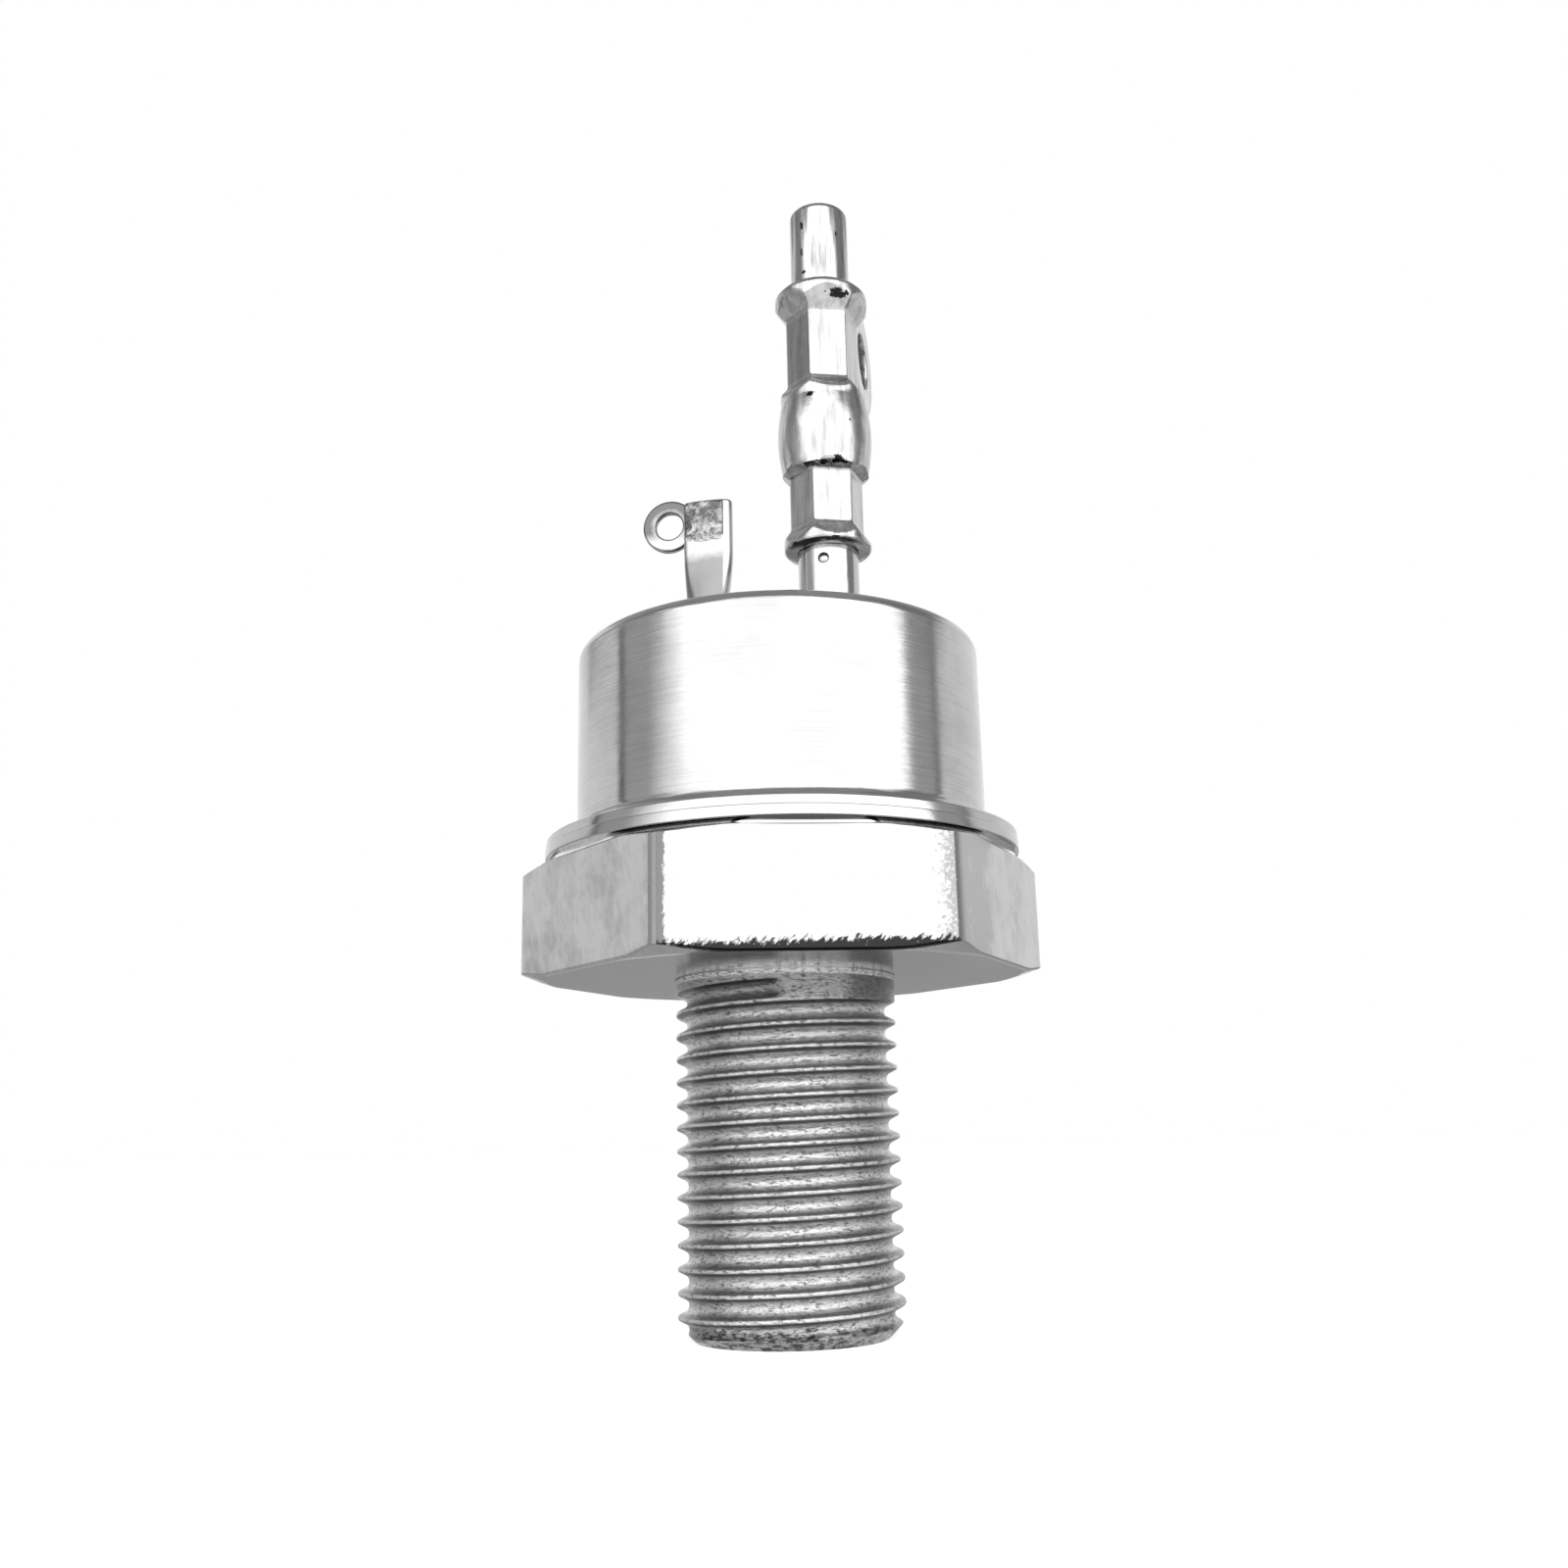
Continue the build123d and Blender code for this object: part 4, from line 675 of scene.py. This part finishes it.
# Painted shade over the eye's upper part, strongest on its outer rim
rim_shade = add(tree, "Math", {0: outer, 1: upper}, operation="MULTIPLY")[0]
colour = add(tree, "Mix", {0: rim_shade, 6: linear("#B0B0B0"), 7: linear("#666666")},
             data_type="RGBA")[2]
rough = add(tree, "MapRange", {0: rim_shade, 3: 0.12, 4: 0.26})[0]
bump = add(tree, "Bump", {"Height": grain, "Distance": 0.00002, "Strength": 1.0})[0]
shader = add(tree, "BsdfPrincipled", {"Base Color": colour, "Metallic": 1.0, "Roughness": rough,
                                      "Normal": bump})[0]
add(tree, "OutputMaterial", {0: shader})
finished(gate_lug, "gate_lug_eye", eye_plate, "gate_lug")


# Glass seal and the pieces inside the can keep their CAD shapes.
# Each gets its own real material. Glass and silicon are dark and glossy, lapped molybdenum and
# annealed silver are soft and grey, turned steel and copper show fine rings, blued springs are
# dark, and fired alumina and the gate's sleeve are matt white.
# A row gives the colour, metallic, roughness, marks per millimetre along X, Y and Z, and the
# marks' height in metres.
inner_looks = (
    ("glass_seal", "compression_glass", "#2E3835", 0.0, 0.06, (0.8, 0.8, 0.8), 0.000003),
    ("spring_collar", "turned_steel", "#8F8E8B", 1.0, 0.30, (0.1, 0.1, 8.0), 0.000006),
    ("anode_foil", "annealed_silver", "#E3E0D8", 1.0, 0.35, (2.0, 2.0, 2.0), 0.000004),
    ("anode_disc", "lapped_molybdenum", "#8D8D90", 1.0, 0.38, (5.0, 5.0, 5.0), 0.000004),
    ("silicon_pellet", "polished_silicon", "#43464F", 0.6, 0.12, (1.0, 1.0, 1.0), 0.000002),
    ("junction_coating", "clear_silicone", "#DCD7CC", 0.0, 0.22, (0.9, 0.9, 0.9), 0.00001),
    ("cathode_foil", "annealed_silver", "#E3E0D8", 1.0, 0.35, (2.0, 2.0, 2.0), 0.000004),
    ("cathode_disc", "lapped_molybdenum", "#8D8D90", 1.0, 0.38, (5.0, 5.0, 5.0), 0.000004),
    ("cathode_pole", "turned_copper", "#D08C64", 1.0, 0.25, (0.2, 0.2, 7.0), 0.000006),
    ("pole_insulator", "fired_alumina", "#EDE9E0", 0.0, 0.55, (4.0, 4.0, 4.0), 0.000008),
    ("thrust_washer", "ground_steel", "#8B8A88", 1.0, 0.32, (4.0, 4.0, 4.0), 0.000004),
    ("disc_spring_1", "blued_steel", "#5C6068", 1.0, 0.36, (3.0, 3.0, 3.0), 0.000006),
    ("disc_spring_2", "blued_steel", "#5A5E67", 1.0, 0.36, (3.0, 3.0, 3.0), 0.000006),
    ("disc_spring_3", "blued_steel", "#5E6269", 1.0, 0.36, (3.0, 3.0, 3.0), 0.000006),
    ("retaining_ring", "blued_steel", "#4F525A", 1.0, 0.40, (3.0, 3.0, 3.0), 0.000006),
    ("gate_contact", "drawn_silver", "#E0DDD5", 1.0, 0.22, (1.0, 1.0, 6.0), 0.000003),
    ("gate_guide", "fired_alumina", "#EBE7DD", 0.0, 0.50, (4.0, 4.0, 4.0), 0.000008),
    ("gate_plug", "fired_alumina", "#E8E3D8", 0.0, 0.52, (4.0, 4.0, 4.0), 0.000008),
    ("gate_spring", "drawn_steel", "#9A9B9E", 1.0, 0.25, (6.0, 6.0, 6.0), 0.000003),
    ("gate_wire", "drawn_silver", "#DDDAD2", 1.0, 0.22, (1.0, 1.0, 6.0), 0.000003),
    ("gate_sleeve", "fluoropolymer", "#ECEBE6", 0.0, 0.42, (2.0, 2.0, 2.0), 0.000005),
    ("cathode_lead", "soldered_copper", "#C9855E", 1.0, 0.28, (6.0, 6.0, 0.6), 0.00001),
)
for node, finish, hue, metallic, roughness, marks, mark_height in inner_looks:
    look, tree = blank_material(f"{finish}_{node}")
    place = add(tree, "TexCoord", {})["Object"]
    mm = add(tree, "VectorMath", {0: place, "Scale": 1000}, operation="SCALE")[0]
    laid = add(tree, "Mapping", {0: mm, "Scale": marks})[0]
    grain = add(tree, "TexNoise", {"Vector": laid, "Scale": 1.0, "Detail": 5.0,
                                   "Roughness": 0.6})[0]
    broad = add(tree, "TexNoise", {"Vector": mm, "Scale": 0.3, "Detail": 3.0})[0]
    toned = [c * 0.78 for c in linear(hue)[:3]] + [1]
    colour = add(tree, "Mix", {0: broad, 6: linear(hue), 7: toned}, data_type="RGBA")[2]
    if node == "cathode_lead":
        high = add(tree, "SeparateXYZ", {0: mm})[2]
        soldered = add(tree, "MapRange", {0: high, 1: 23.5, 2: 24.2})[0]
        colour = add(tree, "Mix", {0: soldered, 6: colour, 7: linear("#B5B5B4")},
                     data_type="RGBA")[2]
    rough = add(tree, "MapRange", {0: grain, 1: 0.3, 2: 0.7, 3: roughness * 0.8,
                                   4: roughness * 1.25})[0]
    bump = add(tree, "Bump", {"Height": grain, "Distance": mark_height, "Strength": 1.0})[0]
    shader = add(tree, "BsdfPrincipled", {"Base Color": colour, "Metallic": metallic,
                                          "Roughness": rough, "Normal": bump})[0]
    add(tree, "OutputMaterial", {0: shader})
    for place_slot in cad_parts[node].material_slots:
        place_slot.material = look


# Floor and studio: a white sweep with one soft panel in front, grey cards beside, over and behind
# the part, and cloths and a white card low in front, which the metal reflects.
# The camera, mirrors and glass see the white of the floor and the world at full strength.
def card(name, width, depth, place, turn, material):
    """Flat stage sheet in metres, turned about X, Y and Z, seen only in reflections."""
    bm = bmesh.new()
    stood = Matrix.Translation(place) @ Matrix.LocRotScale(None, turn, None)
    bmesh.ops.create_grid(bm, x_segments=1, y_segments=1, size=0.5,
                          matrix=stood @ Matrix.Diagonal((width, depth, 1, 1)))
    mesh = bpy.data.meshes.new(name)
    bm.to_mesh(mesh)
    bm.free()
    mesh.materials.append(material)
    sheet = bpy.data.objects.new(name, mesh)
    bpy.context.scene.collection.objects.link(sheet)
    sheet.visible_camera = False
    sheet.visible_diffuse = False
    sheet.visible_shadow = False
    return sheet


def seen_plainly(tree):
    """1 for rays from the camera, from metal and through glass, and 0 for all other rays."""
    path = add(tree, "LightPath", {})
    seen = add(tree, "Math", {0: path["Is Camera Ray"], 1: path["Is Glossy Ray"]},
               operation="ADD")[0]
    return add(tree, "Math", {0: seen, 1: path["Is Transmission Ray"]}, operation="ADD",
               use_clamp=True)[0]


floor_look, tree = blank_material("floor_white")
seen = seen_plainly(tree)
place = add(tree, "TexCoord", {})["Object"]
fleck = add(tree, "TexNoise", {"Vector": place, "Scale": 300.0, "Detail": 3.0})[0]
paper = add(tree, "Mix", {0: fleck, 6: linear("#F4F4F2"), 7: linear("#EEEEEC")},
            data_type="RGBA")[2]
matt = add(tree, "BsdfDiffuse", {0: paper, "Roughness": 0.5})[0]
strength = add(tree, "Math", {0: seen, 1: 0.62}, operation="MULTIPLY")[0]
glow = add(tree, "Emission", {0: linear("#FFFFFF"), 1: strength})[0]
both = add(tree, "AddShader", {0: matt, 1: glow})[0]
add(tree, "OutputMaterial", {0: both})
floor = card("floor", 6.0, 6.0, (0, 0, -0.0198), Euler(), floor_look)
floor.visible_camera = True
floor.visible_diffuse = True
floor.visible_shadow = True

card_levels = {"grey_card": 0.55, "dark_card": 0.03, "edge_card": 0.2, "upper_card": 0.36,
               "deep_card": 0.33, "overhead_card": 0.44, "rear_card": 0.33, "low_card": 0.42,
               "front_glow": 1.35}
greys = {}
for name, level in card_levels.items():
    greys[name], tree = blank_material(name)
    glow = add(tree, "Emission", {0: (level, level, level, 1), 1: 1.0})[0]
    add(tree, "OutputMaterial", {0: glow})
fade_look, tree = blank_material("fading_card")
place = add(tree, "TexCoord", {})["Object"]
along_y = add(tree, "SeparateXYZ", {0: place})[1]
thinning = add(tree, "MapRange", {0: along_y, 1: -0.165, 2: -0.055})[0]
clear = add(tree, "BsdfTransparent", {})[0]
grey = card_levels["grey_card"]
glow = add(tree, "Emission", {0: (grey, grey, grey, 1), 1: 1.0})[0]
faded = add(tree, "MixShader", {0: thinning, 1: clear, 2: glow})[0]
add(tree, "OutputMaterial", {0: faded})
standing, lying = Euler((math.radians(90), 0, math.radians(90))), Euler((0, 0, 0))
left_slant, right_slant = Euler((0, 0, math.radians(33))), Euler((0, 0, math.radians(-20)))
card("left_fade", 0.121, 0.55, (-0.2, -0.1045, -0.125), standing, fade_look)
card("left_card", 0.054, 0.493, (-0.2, -0.017, -0.1535), standing, greys["grey_card"])
card("left_edge", 0.019, 0.493, (-0.2, 0.0195, -0.1535), standing, greys["edge_card"])
card("left_middle", 0.29, 0.042, (-0.199, 0.055, 0.114), standing, greys["grey_card"])
card("left_upper", 0.105, 0.665, (-0.2, 0.0085, 0.4675), standing, greys["upper_card"])
card("left_lug", 0.03, 0.032, (-0.2, 0.076, 0.156), standing, greys["upper_card"])
card("left_tip", 0.044, 0.628, (-0.2, 0.083, 0.486), standing, greys["grey_card"])
card("right_card", 0.071, 0.493, (0.2, -0.0305, -0.1535), standing, greys["grey_card"])
card("right_edge", 0.016, 0.493, (0.2, 0.013, -0.1535), standing, greys["edge_card"])
card("right_upper", 0.126, 0.707, (0.2, -0.003, 0.4465), standing, greys["deep_card"])
card("right_tip", 0.06, 0.635, (0.2, 0.09, 0.4825), standing, greys["deep_card"])
card("overhead_card", 0.86, 0.83, (0, 0.085, 0.45), lying, greys["overhead_card"])
card("rear_card", 1.2, 0.52, (0, 0.34, -0.0197), lying, greys["rear_card"])
card("left_low", 0.25, 0.038, (-0.1995, 0.154, -0.0008), standing, greys["low_card"])
card("right_low", 0.28, 0.038, (0.1995, 0.161, -0.0008), standing, greys["low_card"])
card("front_glow", 0.7, 0.36, (0, -0.25, -0.01975), lying, greys["front_glow"])
card("front_cloth", 0.3, 0.036, (0, -0.032, -0.0197), lying, greys["dark_card"])
card("left_cloth", 0.28, 0.12, (-0.1376, -0.0178, -0.0196), left_slant, greys["grey_card"])
card("right_cloth", 0.28, 0.12, (0.138, 0.0137, -0.0196), right_slant, greys["grey_card"])

front = bpy.data.lights.new("front_panel", "AREA")
front.shape = "RECTANGLE"
front.size = 5.0
front.size_y = 1.3
front.energy = 28.2
front.diffuse_factor = 0.5
lamp = bpy.data.objects.new("front_panel", front)
lamp.matrix_world = Matrix.Translation((0, -0.45, 0.1)) @ Matrix.Rotation(math.radians(90), 4, "X")
lamp.visible_camera = False
bpy.context.scene.collection.objects.link(lamp)

world = bpy.data.worlds.new("studio")
world.use_nodes = True
tree = world.node_tree
tree.nodes.clear()
seen = seen_plainly(tree)
level = add(tree, "MapRange", {0: seen, 3: 0.4, 4: 1.0})[0]
white = add(tree, "Background", {0: linear("#FFFFFF"), 1: level})[0]
add(tree, "OutputWorld", {0: white})
bpy.context.scene.world = world
